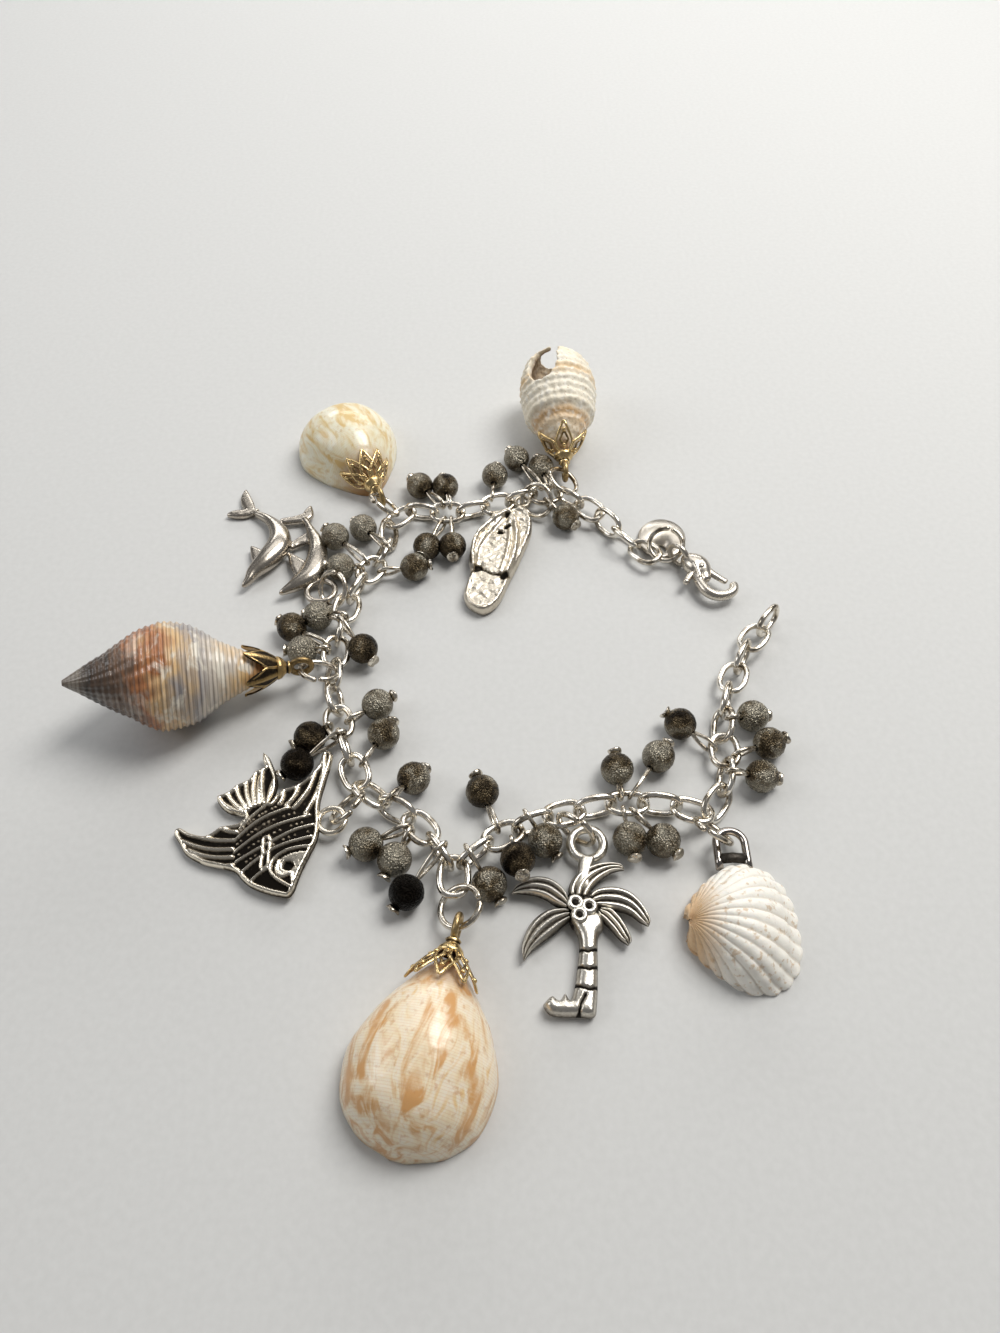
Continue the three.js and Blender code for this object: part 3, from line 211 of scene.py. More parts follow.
# Shapes under construction
class Shape:
    """Points in millimetres, faces, a tone from dark 0 to bright 1, and each point's place as first made. On the
    cast metals a low tone stands for oxide patina in the hollows and for painted shade there.
    """

    def __init__(self, points, faces, tone=1.0, place=None):
        self.points = np.asarray(points, float).reshape(-1, 3)
        self.faces = [tuple(int(i) for i in face) for face in faces]
        self.tone = np.broadcast_to(np.asarray(tone, float), (len(self.points),)).copy()
        self.place = self.points.copy() if place is None else np.asarray(place, float)

    def moved(self, matrix):
        m = np.array(matrix, float)
        return Shape(self.points @ m[:3, :3].T + m[:3, 3], self.faces, self.tone, self.place)

    def toned(self, tone):
        return Shape(self.points, self.faces, tone, self.place)


def solid(points, faces, tone=1.0):
    """A closed shape with its faces turned outwards."""
    p = np.asarray(points, float).reshape(-1, 3)
    corners = [(face[0], face[k], face[k + 1]) for face in faces for k in range(1, len(face) - 1)]
    a, b, c = (p[list(row)] for row in zip(*corners))
    if np.sum(a * np.cross(b, c)) < 0:
        faces = [face[::-1] for face in faces]
    return Shape(p, faces, tone)


def joined(shapes):
    faces = []
    start = 0
    for shape in shapes:
        faces += [tuple(i + start for i in face) for face in shape.faces]
        start += len(shape.points)
    stack = [np.concatenate([getattr(s, kind) for s in shapes]) for kind in ("points", "tone", "place")]
    return Shape(stack[0], faces, stack[1], stack[2])


def turn_about(axis, degrees):
    return Matrix.Rotation(math.radians(degrees), 4, axis)


def placed(origin, x_axis, y_hint):
    """The placement with its origin, its X axis and a direction that its Y axis leans to."""
    x = x_axis.normalized()
    z = x.cross(y_hint).normalized()
    matrix = Matrix((x, z.cross(x), z)).transposed().to_4x4()
    matrix.translation = origin
    return matrix


def heading_of(degrees):
    return Vector((math.cos(math.radians(degrees)), math.sin(math.radians(degrees)), 0))


def unit(rows):
    return rows / np.maximum(np.linalg.norm(rows, axis=-1, keepdims=True), 1e-9)


def spline(rows, count, closed=False):
    """Points evenly spread over the spans of a smooth centripetal curve through the rows."""
    p = np.asarray(rows, float)
    size = len(p)
    spans = size if closed else size - 1
    result = []
    for t in np.linspace(0, spans, count + (1 if closed else 0))[:count]:
        i = min(int(t), spans - 1)
        w = t - i
        p1 = p[i % size]
        p2 = p[(i + 1) % size]
        p0 = p[(i - 1) % size] if closed or i > 0 else 2 * p[0] - p[1]
        p3 = p[(i + 2) % size] if closed or i + 2 < size else 2 * p[-1] - p[-2]
        d = [max(np.sum((b - a) ** 2) ** 0.25, 1e-4) for a, b in ((p0, p1), (p1, p2), (p2, p3))]
        t1 = ((p1 - p0) / d[0] - (p2 - p0) / (d[0] + d[1]) + (p2 - p1) / d[1]) * d[1]
        t2 = ((p2 - p1) / d[1] - (p3 - p1) / (d[1] + d[2]) + (p3 - p2) / d[2]) * d[1]
        result.append(p1 + t1 * w + (3 * (p2 - p1) - 2 * t1 - t2) * w**2 + (2 * (p1 - p2) + t1 + t2) * w**3)
    return np.array(result)


def grid_faces(rows, columns, wrap_rows=False, wrap_columns=True):
    faces = []
    for r in range(rows if wrap_rows else rows - 1):
        for c in range(columns if wrap_columns else columns - 1):
            a = r * columns + c
            b = r * columns + (c + 1) % columns
            up = ((r + 1) % rows) * columns - r * columns
            faces.append((a, b, b + up, a + up))
    return faces


def tube(path, radius, sides=10, closed=False, up=(0, 0, 1), flat=1.0):
    """A round wire along a path, its section flattened along up. Radius is one value or one for each point."""
    path = np.asarray(path, float)
    ahead = np.roll(path, -1, 0) - np.roll(path, 1, 0) if closed else np.gradient(path, axis=0)
    side = unit(np.cross(np.asarray(up, float), unit(ahead)))
    lift = np.cross(unit(ahead), side)
    angle = np.linspace(0, 2 * math.pi, sides, endpoint=False)
    reach = np.broadcast_to(np.asarray(radius, float), (len(path),))[:, None, None]
    ring = np.cos(angle)[None, :, None] * side[:, None] + flat * np.sin(angle)[None, :, None] * lift[:, None]
    points = (path[:, None] + reach * ring).reshape(-1, 3)
    faces = grid_faces(len(path), sides, wrap_rows=closed)
    if not closed:
        faces += [tuple(range(sides))[::-1], tuple(range(len(points) - sides, len(points)))]
    return solid(points, faces)


def blunt(radius, count, ends=3):
    """A wire's radius along its length, rounded off over the last few of its points."""
    r = np.full(count, float(radius))
    for k in range(ends):
        share = math.sqrt(1 - (1 - (k + 0.35) / ends) ** 2)
        r[k] *= share
        r[count - 1 - k] *= share
    return r


def turned(profile, sides):
    """A closed profile of place and radius along +X, turned about the X axis."""
    angle = np.linspace(0, 2 * math.pi, sides, endpoint=False)
    rows = np.asarray(profile, float)
    points = np.stack([
        np.repeat(rows[:, :1], sides, 1),
        rows[:, 1:2] * np.cos(angle),
        rows[:, 1:2] * np.sin(angle),
    ], -1).reshape(-1, 3)
    faces = grid_faces(len(rows), sides)
    faces += [tuple(range(sides))[::-1], tuple(range(len(points) - sides, len(points)))]
    return solid(points, faces)


def oval(length, width, roundness=2.0, count=40):
    """The middle line of a closed wire, long side along X."""
    t = np.linspace(0, 2 * math.pi, count, endpoint=False)
    power = 2 / roundness
    x = length / 2 * np.sign(np.cos(t)) * np.abs(np.cos(t)) ** power
    y = width / 2 * np.sign(np.sin(t)) * np.abs(np.sin(t)) ** power
    return np.stack([x, y, np.zeros(count)], -1)


def eye_ring(diameter, wire, sides=12, flat=1.0):
    return tube(oval(diameter - wire, diameter - wire, count=48), wire / 2, sides, closed=True, flat=flat)


def to_mesh(shape, name):
    mesh = bpy.data.meshes.new(name)
    mesh.from_pydata((shape.points * MM).tolist(), [], shape.faces)
    for kind, data in (("tone", shape.tone), ("place", shape.place)):
        size = "FLOAT" if kind == "tone" else "FLOAT_VECTOR"
        layer = mesh.attributes.new(kind, size, "POINT")
        layer.data.foreach_set("value" if kind == "tone" else "vector", np.ravel(data).astype(np.float32))
    mesh.shade_smooth()
    return mesh


def melted(shape, voxel, smoothing=2):
    """The shapes as one skin, as cast in one piece: remeshed at the voxel size and smoothed."""
    obj = bpy.data.objects.new("work", to_mesh(shape, "work"))
    bpy.context.scene.collection.objects.link(obj)
    remesh = obj.modifiers.new("one skin", "REMESH")
    remesh.mode = "VOXEL"
    remesh.voxel_size = voxel * MM
    if smoothing:
        smooth = obj.modifiers.new("smooth", "SMOOTH")
        smooth.iterations = smoothing
        smooth.factor = 0.6
    mesh = obj.evaluated_get(bpy.context.evaluated_depsgraph_get()).to_mesh()
    points = np.empty(len(mesh.vertices) * 3)
    mesh.vertices.foreach_get("co", points)
    faces = [tuple(face.vertices) for face in mesh.polygons]
    bpy.data.objects.remove(obj)
    return Shape(points.reshape(-1, 3) / MM, faces)


def carved(shape, cutters):
    """The shape with the cutters taken away from it."""
    made = []
    for k, part in enumerate([shape, *cutters]):
        obj = bpy.data.objects.new(f"work_{k}", to_mesh(part, f"work_{k}"))
        bpy.context.scene.collection.objects.link(obj)
        made.append(obj)
    for cutter in made[1:]:
        cut = made[0].modifiers.new("cut", "BOOLEAN")
        cut.operation = "DIFFERENCE"
        cut.object = cutter
    mesh = made[0].evaluated_get(bpy.context.evaluated_depsgraph_get()).to_mesh()
    points = np.empty(len(mesh.vertices) * 3)
    mesh.vertices.foreach_get("co", points)
    faces = [tuple(face.vertices) for face in mesh.polygons]
    for obj in made:
        bpy.data.objects.remove(obj)
    return Shape(points.reshape(-1, 3) / MM, faces)


def normals_of(shape):
    mesh = bpy.data.meshes.new("work")
    mesh.from_pydata(shape.points.tolist(), [], shape.faces)
    normals = np.empty(len(shape.points) * 3)
    mesh.vertices.foreach_get("normal", normals)
    bpy.data.meshes.remove(mesh)
    return normals.reshape(-1, 3)


def roughness_at(points, scale, octaves=3):
    """Smooth noise between about -1 and 1 at each point, for grain of the given size."""
    return np.array([noise.fractal(Vector(p) / scale, 0.8, 2.0, octaves) for p in points])


# Chain: joints a pitch apart along the route, then a link between each two
LINK_BEND = (LINK_WIDTH - LINK_WIRE) / 2
LINK_STRAIGHT = (LINK_LENGTH - LINK_WIDTH) / 2
LINK_PITCH = LINK_LENGTH - 2 * LINK_WIRE + LINK_BITE


def lean_at(number):
    return float(np.interp(number, [row[0] for row in LEANS], [row[1] for row in LEANS]))


def standing_height(number):
    lean = math.radians(lean_at(number))
    return LINK_WIRE / 2 + LINK_BEND * max(abs(math.sin(lean)), abs(math.cos(lean)))


def joints_along(route, count, first):
    samples = [Vector((x, y, 0)) for x, y in spline(route, 60 * len(route) + 1)]
    samples.append(samples[-1] + (samples[-1] - samples[-2]).normalized() * LINK_PITCH * count)
    joints = [samples[0].copy()]
    s = 1
    while len(joints) <= count:
        start = joints[-1]
        while (samples[s] - start).length < LINK_PITCH:
            s += 1
        short = max(LINK_PITCH - (samples[s - 1] - start).length, 0)
        joints.append(samples[s - 1] + (samples[s] - samples[s - 1]).normalized() * short)
    for i, joint in enumerate(joints):
        joint.z = standing_height(first + i)
    return joints


def link_between(start, end, number, lean):
    along = (end - start).normalized()
    left = UP.cross(along).normalized()
    raised = along.cross(left)
    across = left * math.cos(lean) + raised * math.sin(lean)
    return {"number": number, "middle": (start + end) / 2, "along": along, "across": across}


def links_along(route, count, first):
    joints = joints_along(route, count, first)
    links = []
    for i in range(count):
        number = first + i
        lean = math.radians(lean_at(number) + (90 if number % 2 else 0))
        links.append(link_between(joints[i], joints[i + 1], number, lean))
    return links


def front_link(number):
    middle = Vector((FRONT_LINK["x"], FRONT_LINK["y"], standing_height(number + 1)))
    run = heading_of(FRONT_LINK["heading"]) * LINK_PITCH / 2
    return link_between(middle - run, middle + run, number, 0)


FRONT_NUMBER = LEFT_LINKS + 1
left_links = links_along(LEFT_ROUTE, LEFT_LINKS, 1)
right_links = [front_link(FRONT_NUMBER), *links_along(RIGHT_ROUTE, RIGHT_LINKS, FRONT_NUMBER + 1)]
all_links = {link["number"]: link for link in left_links + right_links}


def link_shape(link):
    line = oval(LINK_LENGTH - LINK_WIRE + LINK_BITE, LINK_WIDTH - LINK_WIRE, LINK_ROUNDNESS, 44)
    return tube(line, LINK_WIRE / 2, 12,
                closed=True).moved(placed(link["middle"], link["along"], link["across"]))


def wire_point(link, slide, target):
    """The point on a link's long wire on the side that faces a target, or on its upper wire where it stands."""
    facing = link["across"].dot(target - link["middle"])
    standing = abs(link["across"].z) > 0.7
    side = link["across"] * math.copysign(1, link["across"].z if standing else facing)
    return side, link["middle"] + side * LINK_BEND + link["along"] * slide * LINK_STRAIGHT


# Beads: a rough drilled ball, the wire loop that holds it to a link, and the cup that ends the wire
def rough_ball():
    radius = BEAD_DIAMETER / 2
    edge = math.asin(BEAD_HOLE / BEAD_DIAMETER)
    around = [(-radius * math.cos(a), radius * math.sin(a)) for a in np.linspace(edge, math.pi - edge, 34)]
    bore = BEAD_HOLE / 2 * 0.86
    depth = radius * 0.55
    inside = [(depth, 0.02), (depth, bore), (around[-1][0] * 0.985, bore)]
    outside = [(-x, r) for x, r in inside]
    return turned([*outside, *around, *inside[::-1]], 44)


def bead_pieces(row):
    _, number, slide, x, y, dark, lift = row
    link = all_links[number]
    middle = Vector((x, y, BEAD_DIAMETER / 2 + lift))
    _, point = wire_point(link, slide, middle)
    out = (middle - point).normalized()
    place = placed(point, out, link["along"].cross(out))
    distance = (middle - point).length
    ball = rough_ball()
    grain = roughness_at(ball.points + np.array([x, y, 0]) * 3, 0.32)
    on_skin = np.linalg.norm(ball.points, axis=1) > BEAD_DIAMETER * 0.49
    lifted = 1 + BEAD_GRAIN * grain / (BEAD_DIAMETER / 2) * on_skin
    spin = turn_about(Vector((1, 0, 0)), 57 * number + 90 * slide)
    # Points inside the drilled hole get tone -1, which the bead material paints near-black as shade
    ball = Shape(ball.points * lifted[:, None], ball.faces, np.where(on_skin, 1 - dark, -1.0))
    ball = ball.moved(place @ Matrix.Translation((distance, 0, 0)) @ spin)
    start = -(LINK_WIRE / 2 + LOOP_PLAY / 2 + PIN_WIRE / 2)
    end = distance - BEAD_DIAMETER / 2 + 0.35
    half = LINK_WIRE / 2 + LOOP_PLAY + PIN_WIRE / 2
    t = np.linspace(0, 2 * math.pi, 40, endpoint=False)
    narrow = 1 - 0.86 * ((1 + np.cos(t)) / 2) ** 1.6
    line = np.stack([(start + end) / 2 + (end - start) / 2 * np.cos(t), half * np.sin(t) * narrow,
                     0.1 * np.sin(t)], -1)
    loop = tube(line, PIN_WIRE / 2, 10, closed=True).moved(place)
    rim = HEAD_DIAMETER / 2
    cup = [(0.12, 0.05), (-0.03, 0.35 * rim), (0.14 * HEAD_DEPTH, 0.75 * rim), (HEAD_DEPTH, rim),
           (HEAD_DEPTH + 0.14, 0.98 * rim), (0.5 * HEAD_DEPTH, 0.66 * rim), (0.32, 0.3 * rim), (0.34, 0.05)]
    head = turned(cup, 22)
    head.points[:, 0] += 0.1 * np.sin(2.4 * np.arctan2(head.points[:, 2],
                                                       head.points[:, 1])) * (head.points[:, 0] > 0.2)
    tilt = turn_about(Vector((0, 0, 1)), 14 * math.sin(5.1 * x + y))
    far = distance + BEAD_DIAMETER / 2 - 0.05
    return ball, joined([loop, head.moved(place @ Matrix.Translation((far, 0, 0)) @ tilt)])


def cut_ring():
    """A round jump ring whose ends don't quite meet."""
    bend = (RING_DIAMETER - RING_WIRE) / 2
    gap = math.radians(RING_CUT)
    t = np.linspace(gap / 2, 2 * math.pi - gap / 2, 72)
    line = np.stack([bend * np.cos(t), bend * np.sin(t), 0.12 * np.cos(t / 2)], -1)
    return tube(line, blunt(RING_WIRE / 2, 72, 2), 14)


def settled(name, pieces):
    """Pieces made with their eye at the origin, tipped about it to stand on the surface."""
    lie = LIES[name]
    tip = turn_about(UP.cross(heading_of(lie["towards"])), lie["tip"])
    matrix = turn_about(UP, lie["heading"]) @ tip
    lowest = min(shape.moved(matrix).points[:, 2].min() for shape in pieces.values())
    return {"pieces": pieces, "matrix": matrix, "eye_height": -lowest}


def hung(name, charm):
    """The jump ring from a link to a charm's eye, and the charm's pieces moved to hang on it."""
    hanger = HANGERS[name]
    link = all_links[hanger["link"]]
    bend = (RING_DIAMETER - RING_WIRE) / 2
    outward = heading_of(hanger["heading"])
    if hanger["link"] == FRONT_NUMBER:
        side = link["along"]
        point = link["middle"] + side * (LINK_LENGTH - LINK_WIRE) / 2
    else:
        side, point = wire_point(link, hanger["slide"], link["middle"] + outward)
    inside = point + side * (RING_BITE - (LINK_WIRE + RING_WIRE) / 2)
    chord = hanger["reach"] * 2 * bend
    rise = charm["eye_height"] - inside.z
    eye = inside + outward * math.sqrt(chord**2 - rise**2)
    eye.z = charm["eye_height"]
    run = (eye - inside).normalized()
    left = UP.cross(run).normalized()
    raised = run.cross(left)
    lean = math.radians(hanger["lean"])
    in_plane = left * math.cos(lean) + raised * math.sin(lean)
    if in_plane.z < 0:
        in_plane = -in_plane
    middle = (inside + eye) / 2 + in_plane * math.sqrt(bend**2 - (chord / 2) ** 2)
    ring = cut_ring().moved(placed(middle, in_plane, -run))
    place = Matrix.Translation(eye) @ charm["matrix"]
    pieces = {key: shape.moved(place) for key, shape in charm["pieces"].items()}
    return {"ring": ring, "pieces": pieces, "ring_middle": middle, "place": place}


# Cast relief: a plate whose front is raised and cut by lines, in shares of the charm's size
def segment_distance(points, line, closed=False):
    ends = np.roll(line, -1, 0) if closed else line[1:]
    starts = line if closed else line[:-1]
    best = np.full(len(points), 1e9)
    for a, b in zip(starts, ends):
        run = b - a
        t = np.clip(((points - a) @ run) / max(run @ run, 1e-9), 0, 1)
        best = np.minimum(best, np.linalg.norm(points - a - t[:, None] * run, axis=1))
    return best


def inside(points, loop):
    x, y = points[:, 0], points[:, 1]
    result = np.zeros(len(points), bool)
    for a, b in zip(loop, np.roll(loop, -1, 0)):
        crosses = (a[1] > y) != (b[1] > y)
        result ^= crosses & (x < (b[0] - a[0]) * (y - a[1]) / (b[1] - a[1] + 1e-12) + a[0])
    return result


def cast_plate(outline, back, relief, step=0.25, round_off=0.4):
    """A closed plate. Relief gives the front's height and tone at each point, the edges round off to z = 0."""
    outline = np.asarray(outline, float)[:, :2]
    low, high = outline.min(0), outline.max(0)
    xs = np.arange(low[0], high[0], step)
    ys = np.arange(low[1], high[1], step * 0.87)
    grid = np.array([(x + (k % 2) * step / 2, y) for k, y in enumerate(ys) for x in xs])
    grid = grid[inside(grid, outline)]
    grid = grid[segment_distance(grid, outline, True) > step * 0.8]
    ahead = np.roll(outline, -1, 0) - np.roll(outline, 1, 0)
    inward = unit(np.stack([-ahead[:, 1], ahead[:, 0]], -1))
    rims = []
    for depth in (0.06, 0.16):
        for sign in (1, -1):
            rim = outline + inward * depth * sign
            rim = rim[inside(rim, outline)]
            rims.append(rim[segment_distance(rim, outline, True) > depth * 0.7])
    flat = np.concatenate([outline, *rims, grid])
    count = len(outline)
    edges = [(i, (i + 1) % count) for i in range(count)]
    verts, _, triangles, *_ = delaunay_2d_cdt([Vector(p) for p in flat], edges, [], 0, 1e-6)
    flat = np.array([tuple(v) for v in verts])
    middles = np.array([flat[list(t)].mean(0) for t in triangles])
    triangles = [tuple(t) for t, keep in zip(triangles, inside(middles, outline)) if keep]
    distance = segment_distance(flat, outline, True)
    distance[distance < 1e-4] = 0
    height, tone = relief(flat, distance)
    rounding = np.sqrt(np.clip(1 - (1 - np.clip(distance / round_off, 0, 1)) ** 2, 0, 1))
    front = np.column_stack([flat, height * rounding])
    behind = np.column_stack([flat, -back * rounding])
    edge = {i for i in range(len(flat)) if distance[i] == 0}
    twin = {i: (i if i in edge else len(flat) + i) for i in range(len(flat))}
    faces = [t for t in triangles] + [tuple(twin[i] for i in t)[::-1] for t in triangles]
    back_tone = np.full(len(flat), 0.75)
    return solid(np.concatenate([front, behind]), faces, np.concatenate([tone, back_tone]))


def bump(distance, half):
    return np.clip(1 - (distance / half) ** 2, 0, 1) ** 1.5


def fan(bases, tips, bow=0.0):
    """Lines from evenly spread base points to the tips, bowed sideways by a share of their length."""
    bases, tips = np.asarray(bases, float), np.asarray(tips, float)
    lines = []
    for k, tip in enumerate(tips):
        share = k / max(len(tips) - 1, 1)
        base = spline(bases, 100)[min(int(share * 99), 99)]
        across = np.array([-(tip - base)[1], (tip - base)[0]])
        t = np.linspace(0, 1, 9)[:, None]
        lines.append(base + (tip - base) * t + across * bow * np.sin(np.pi * t))
    return lines


FISH_OUTLINE = [
    [-0.065, -0.03], [-0.08, 0.11], [-0.06, 0.26], [-0.04, 0.45], [-0.07, 0.475], [-0.10, 0.46],
    [-0.13, 0.35],
    [-0.22, 0.25], [-0.27, 0.225], [-0.33, 0.20], [-0.38, 0.12], [-0.355, 0.20], [-0.36, 0.29], [-0.40, 0.38],
    [-0.44, 0.45], [-0.475, 0.475], [-0.47, 0.42], [-0.45, 0.37], [-0.50, 0.34], [-0.54, 0.28], [-0.60, 0.25],
    [-0.65, 0.20], [-0.71, 0.17], [-0.68, 0.11], [-0.62, 0.06], [-0.52, 0.03], [-0.55, -0.01], [-0.60, -0.02],
    [-0.65, -0.03], [-0.73, -0.085], [-0.82, -0.07], [-0.90, -0.03], [-0.925, -0.06], [-0.88, -0.13],
    [-0.83, -0.20], [-0.77, -0.24], [-0.70, -0.27], [-0.61, -0.29], [-0.52, -0.32], [-0.47, -0.37],
    [-0.42, -0.41], [-0.34, -0.445], [-0.25, -0.47], [-0.19, -0.475], [-0.165, -0.44], [-0.155, -0.40],
    [-0.135, -0.32], [-0.10, -0.22], [-0.07, -0.13],
]
FISH_BODY = [
    [-0.10, -0.02], [-0.19, 0.04], [-0.28, 0.09], [-0.38, 0.12], [-0.45, 0.08], [-0.52, 0.01],
    [-0.545, -0.12],
    [-0.535, -0.22], [-0.50, -0.32], [-0.38, -0.41], [-0.24, -0.45], [-0.18, -0.44], [-0.145, -0.30],
    [-0.10, -0.18],
]
TAIL_TIPS = [[-0.70, 0.16], [-0.66, 0.20], [-0.61, 0.245], [-0.55, 0.28], [-0.50, 0.33], [-0.455, 0.36],
             [-0.455, 0.45], [-0.37, 0.29]]
TAIL_BASE = [[-0.53, 0.045], [-0.48, 0.095], [-0.39, 0.125]]
BACK_FIN_TIPS = [[-0.31, 0.20], [-0.22, 0.25], [-0.13, 0.35], [-0.09, 0.45], [-0.05, 0.44]]
BACK_FIN_BASE = [[-0.32, 0.11], [-0.23, 0.08], [-0.08, 0.0]]
SIDE_FIN_TIPS = [[-0.65, -0.04], [-0.89, -0.045], [-0.86, -0.12], [-0.81, -0.18], [-0.72, -0.25]]
SIDE_FIN_BASE = [[-0.55, -0.07], [-0.555, -0.18], [-0.54, -0.28]]
BODY_LINES = [
    [[-0.53, -0.05], [-0.47, 0.03], [-0.39, 0.11]],
    [[-0.55, -0.125], [-0.43, -0.007], [-0.26, 0.083]],
    [[-0.54, -0.20], [-0.37, -0.067], [-0.131, 0.03]],
    [[-0.52, -0.262], [-0.37, -0.169], [-0.22, -0.08], [-0.084, -0.03]],
    [[-0.48, -0.33], [-0.396, -0.254], [-0.302, -0.183], [-0.101, -0.111]],
    [[-0.42, -0.385], [-0.36, -0.33], [-0.308, -0.30]],
]
GILL_LINE = [[-0.094, -0.169], [-0.221, -0.197], [-0.293, -0.247], [-0.316, -0.31], [-0.276, -0.366],
             [-0.185, -0.42]]
FRONT_FIN = [[-0.375, -0.12], [-0.345, -0.12], [-0.335, -0.22], [-0.335, -0.30], [-0.365, -0.31],
             [-0.37, -0.22]]
FISH_EYE_PIT = [-0.212, -0.296]
FISH_EYE_HOOK = [[-0.27, -0.27], [-0.275, -0.32], [-0.24, -0.36], [-0.19, -0.345], [-0.175, -0.39]]


def make_fish():
    size = FISH_SIZE
    outline = spline(np.array(FISH_OUTLINE) * size, 340, closed=True)
    body = spline(np.array(FISH_BODY) * size, 90, closed=True)
    fins = fan(TAIL_BASE, TAIL_TIPS, 0.05) + fan(BACK_FIN_BASE, BACK_FIN_TIPS,
                                                 -0.08) + fan(SIDE_FIN_BASE, SIDE_FIN_TIPS, 0.07)
    ridges = [(line * size, 0.36, 0.42) for line in fins]
    ridges += [(spline(np.array(line) * size, 24), 0.25, 0.36) for line in BODY_LINES]
    ridges.append((spline(np.array(GILL_LINE) * size, 30), 0.26, 0.42))
    ridges.append((spline(np.array(FISH_EYE_HOOK) * size, 24), 0.28, 0.42))
    fin_loop = spline(np.array(FRONT_FIN) * size, 40, closed=True)
    dots = []
    for k, (lower, upper) in enumerate(zip(BODY_LINES[1:-1], BODY_LINES[:-2])):
        low_line, up_line = spline(lower, 60), spline(upper, 60)
        for j in range(14):
            if (j + k) % 4 != 3:
                share = int(3 + j * 4)
                dots.append((low_line[share] * 0.5 + up_line[share] * 0.5) * size)

    def relief(p, distance):
        height = np.full(len(p), 0.32)
        on_body = inside(p, body)
        depth = segment_distance(p, body, True)
        height += np.where(on_body, 0.34 * np.clip(depth / 2.5, 0, 1) ** 0.5, 0)
        rise = np.zeros(len(p))
        for line, half, top in ridges:
            rise = np.maximum(rise, top * bump(segment_distance(p, line), half))
        rise = np.maximum(rise, 0.4 * bump(np.abs(distance - 0.3), 0.32))
        rise = np.maximum(rise, 0.36 * bump(segment_distance(p, fin_loop, True), 0.26))
        for dot in dots:
            rise = np.maximum(rise, 0.22 * bump(np.linalg.norm(p - dot, axis=1), 0.2))
        face = on_body & (segment_distance(p, np.array([[-0.24, -0.28], [-0.15, -0.25]]) * size) < 1.7)
        face &= segment_distance(p, spline(np.array(GILL_LINE) * size, 30)) > 0.6
        face &= p[:, 0] > -0.30 * size
        rise = np.where(face, np.maximum(rise, 0.26), rise)
        pit = np.linalg.norm(p - np.array(FISH_EYE_PIT) * size, axis=1)
        rise = np.where(pit < 0.62, -0.3, rise)
        # The tone falls to 0 on the flat ground between the raised lines and in the eye pit: oxide patina there and
        # painted shade
        return height + rise, np.clip(rise / 0.3, 0, 1)

    plate = cast_plate(outline, 0.55, relief, step=0.17)
    return joined([plate, eye_ring(FISH_EYE_DIAMETER, FISH_EYE_WIRE).toned(0.9)])


# Palm tree. Fronds: outer and inner edges from the crown to the tip, as shares of its height below its eye
FRONDS = [
    [
        [[-0.137, -0.373], [-0.141, -0.329], [-0.109, -0.253], [-0.048, -0.194], [0.03, -0.156],
         [0.14, -0.139],
         [0.219, -0.151], [0.241, -0.19]],
        [[-0.016, -0.386], [0.011, -0.342], [0.055, -0.289], [0.108, -0.244], [0.16, -0.21], [0.241, -0.19]],
    ],
    [
        [[-0.005, -0.373], [0.036, -0.333], [0.104, -0.311], [0.186, -0.311], [0.266, -0.342],
         [0.327, -0.403],
         [0.369, -0.481], [0.384, -0.541], [0.367, -0.579]],
        [[0.034, -0.455], [0.134, -0.473], [0.198, -0.485], [0.261, -0.511], [0.314, -0.554],
         [0.367, -0.579]],
    ],
    [
        [[0.07, -0.464], [0.135, -0.464], [0.173, -0.498], [0.21, -0.549], [0.237, -0.608], [0.253, -0.667],
         [0.228, -0.704]],
        [[0.039, -0.498], [0.046, -0.52], [0.088, -0.566], [0.133, -0.617], [0.177, -0.671], [0.228, -0.704]],
    ],
    [
        [[-0.146, -0.468], [-0.199, -0.46], [-0.272, -0.466], [-0.346, -0.507], [-0.404, -0.575],
         [-0.437, -0.65],
         [-0.454, -0.724], [-0.439, -0.802]],
        [[-0.141, -0.545], [-0.187, -0.583], [-0.245, -0.633], [-0.318, -0.685], [-0.383, -0.737],
         [-0.439, -0.802]],
    ],
    [
        [[-0.147, -0.394], [-0.162, -0.337], [-0.209, -0.28], [-0.274, -0.244], [-0.349, -0.235],
         [-0.424, -0.253],
         [-0.483, -0.297], [-0.514, -0.355]],
        [[-0.159, -0.473], [-0.231, -0.442], [-0.287, -0.403], [-0.36, -0.373], [-0.434, -0.361],
         [-0.514, -0.355]],
    ],
]
TRUNK = [
    [-0.14, -0.54], [-0.119, -0.592], [-0.093, -0.65], [-0.087, -0.716], [-0.096, -0.798], [-0.11, -0.878],
    [-0.13, -0.98], [-0.158, -1.049], [-0.187, -1.007], [-0.223, -1.049], [-0.268, -1.022], [-0.312, -1.057],
    [-0.324, -1.08], [-0.298, -1.125], [-0.253, -1.144], [-0.116, -1.148], [-0.014, -1.148], [0.006, -1.072],
    [0.013, -1.011], [0.02, -0.917], [0.025, -0.838], [0.031, -0.716], [0.043, -0.642], [0.078, -0.592],
    [0.06, -0.5], [-0.04, -0.48],
]
PALM_CROWN = [
    [-0.045, -0.1], [0.045, -0.1], [0.01, -0.24], [0.02, -0.37], [0.06, -0.45], [0.07, -0.56], [-0.02, -0.61],
    [-0.12, -0.6], [-0.155, -0.5], [-0.15, -0.38], [-0.09, -0.28],
]
TRUNK_GROOVES = [-0.757, -0.87, -0.995]
ROOT_SPLIT = [[-0.065, -1.026], [-0.094, -1.072], [-0.112, -1.148]]
NUTS = [[-0.103, -0.444], [-0.016, -0.468], [-0.08, -0.526]]


def evenly(line, count):
    """A spline through the line, its points at equal distances."""
    fine = spline(np.array(line), 200)
    run = np.concatenate([[0], np.cumsum(np.linalg.norm(np.diff(fine, axis=0), axis=1))])
    even = np.linspace(0, run[-1], count)
    return np.stack([np.interp(even, run, fine[:, k]) for k in range(fine.shape[1])], -1)


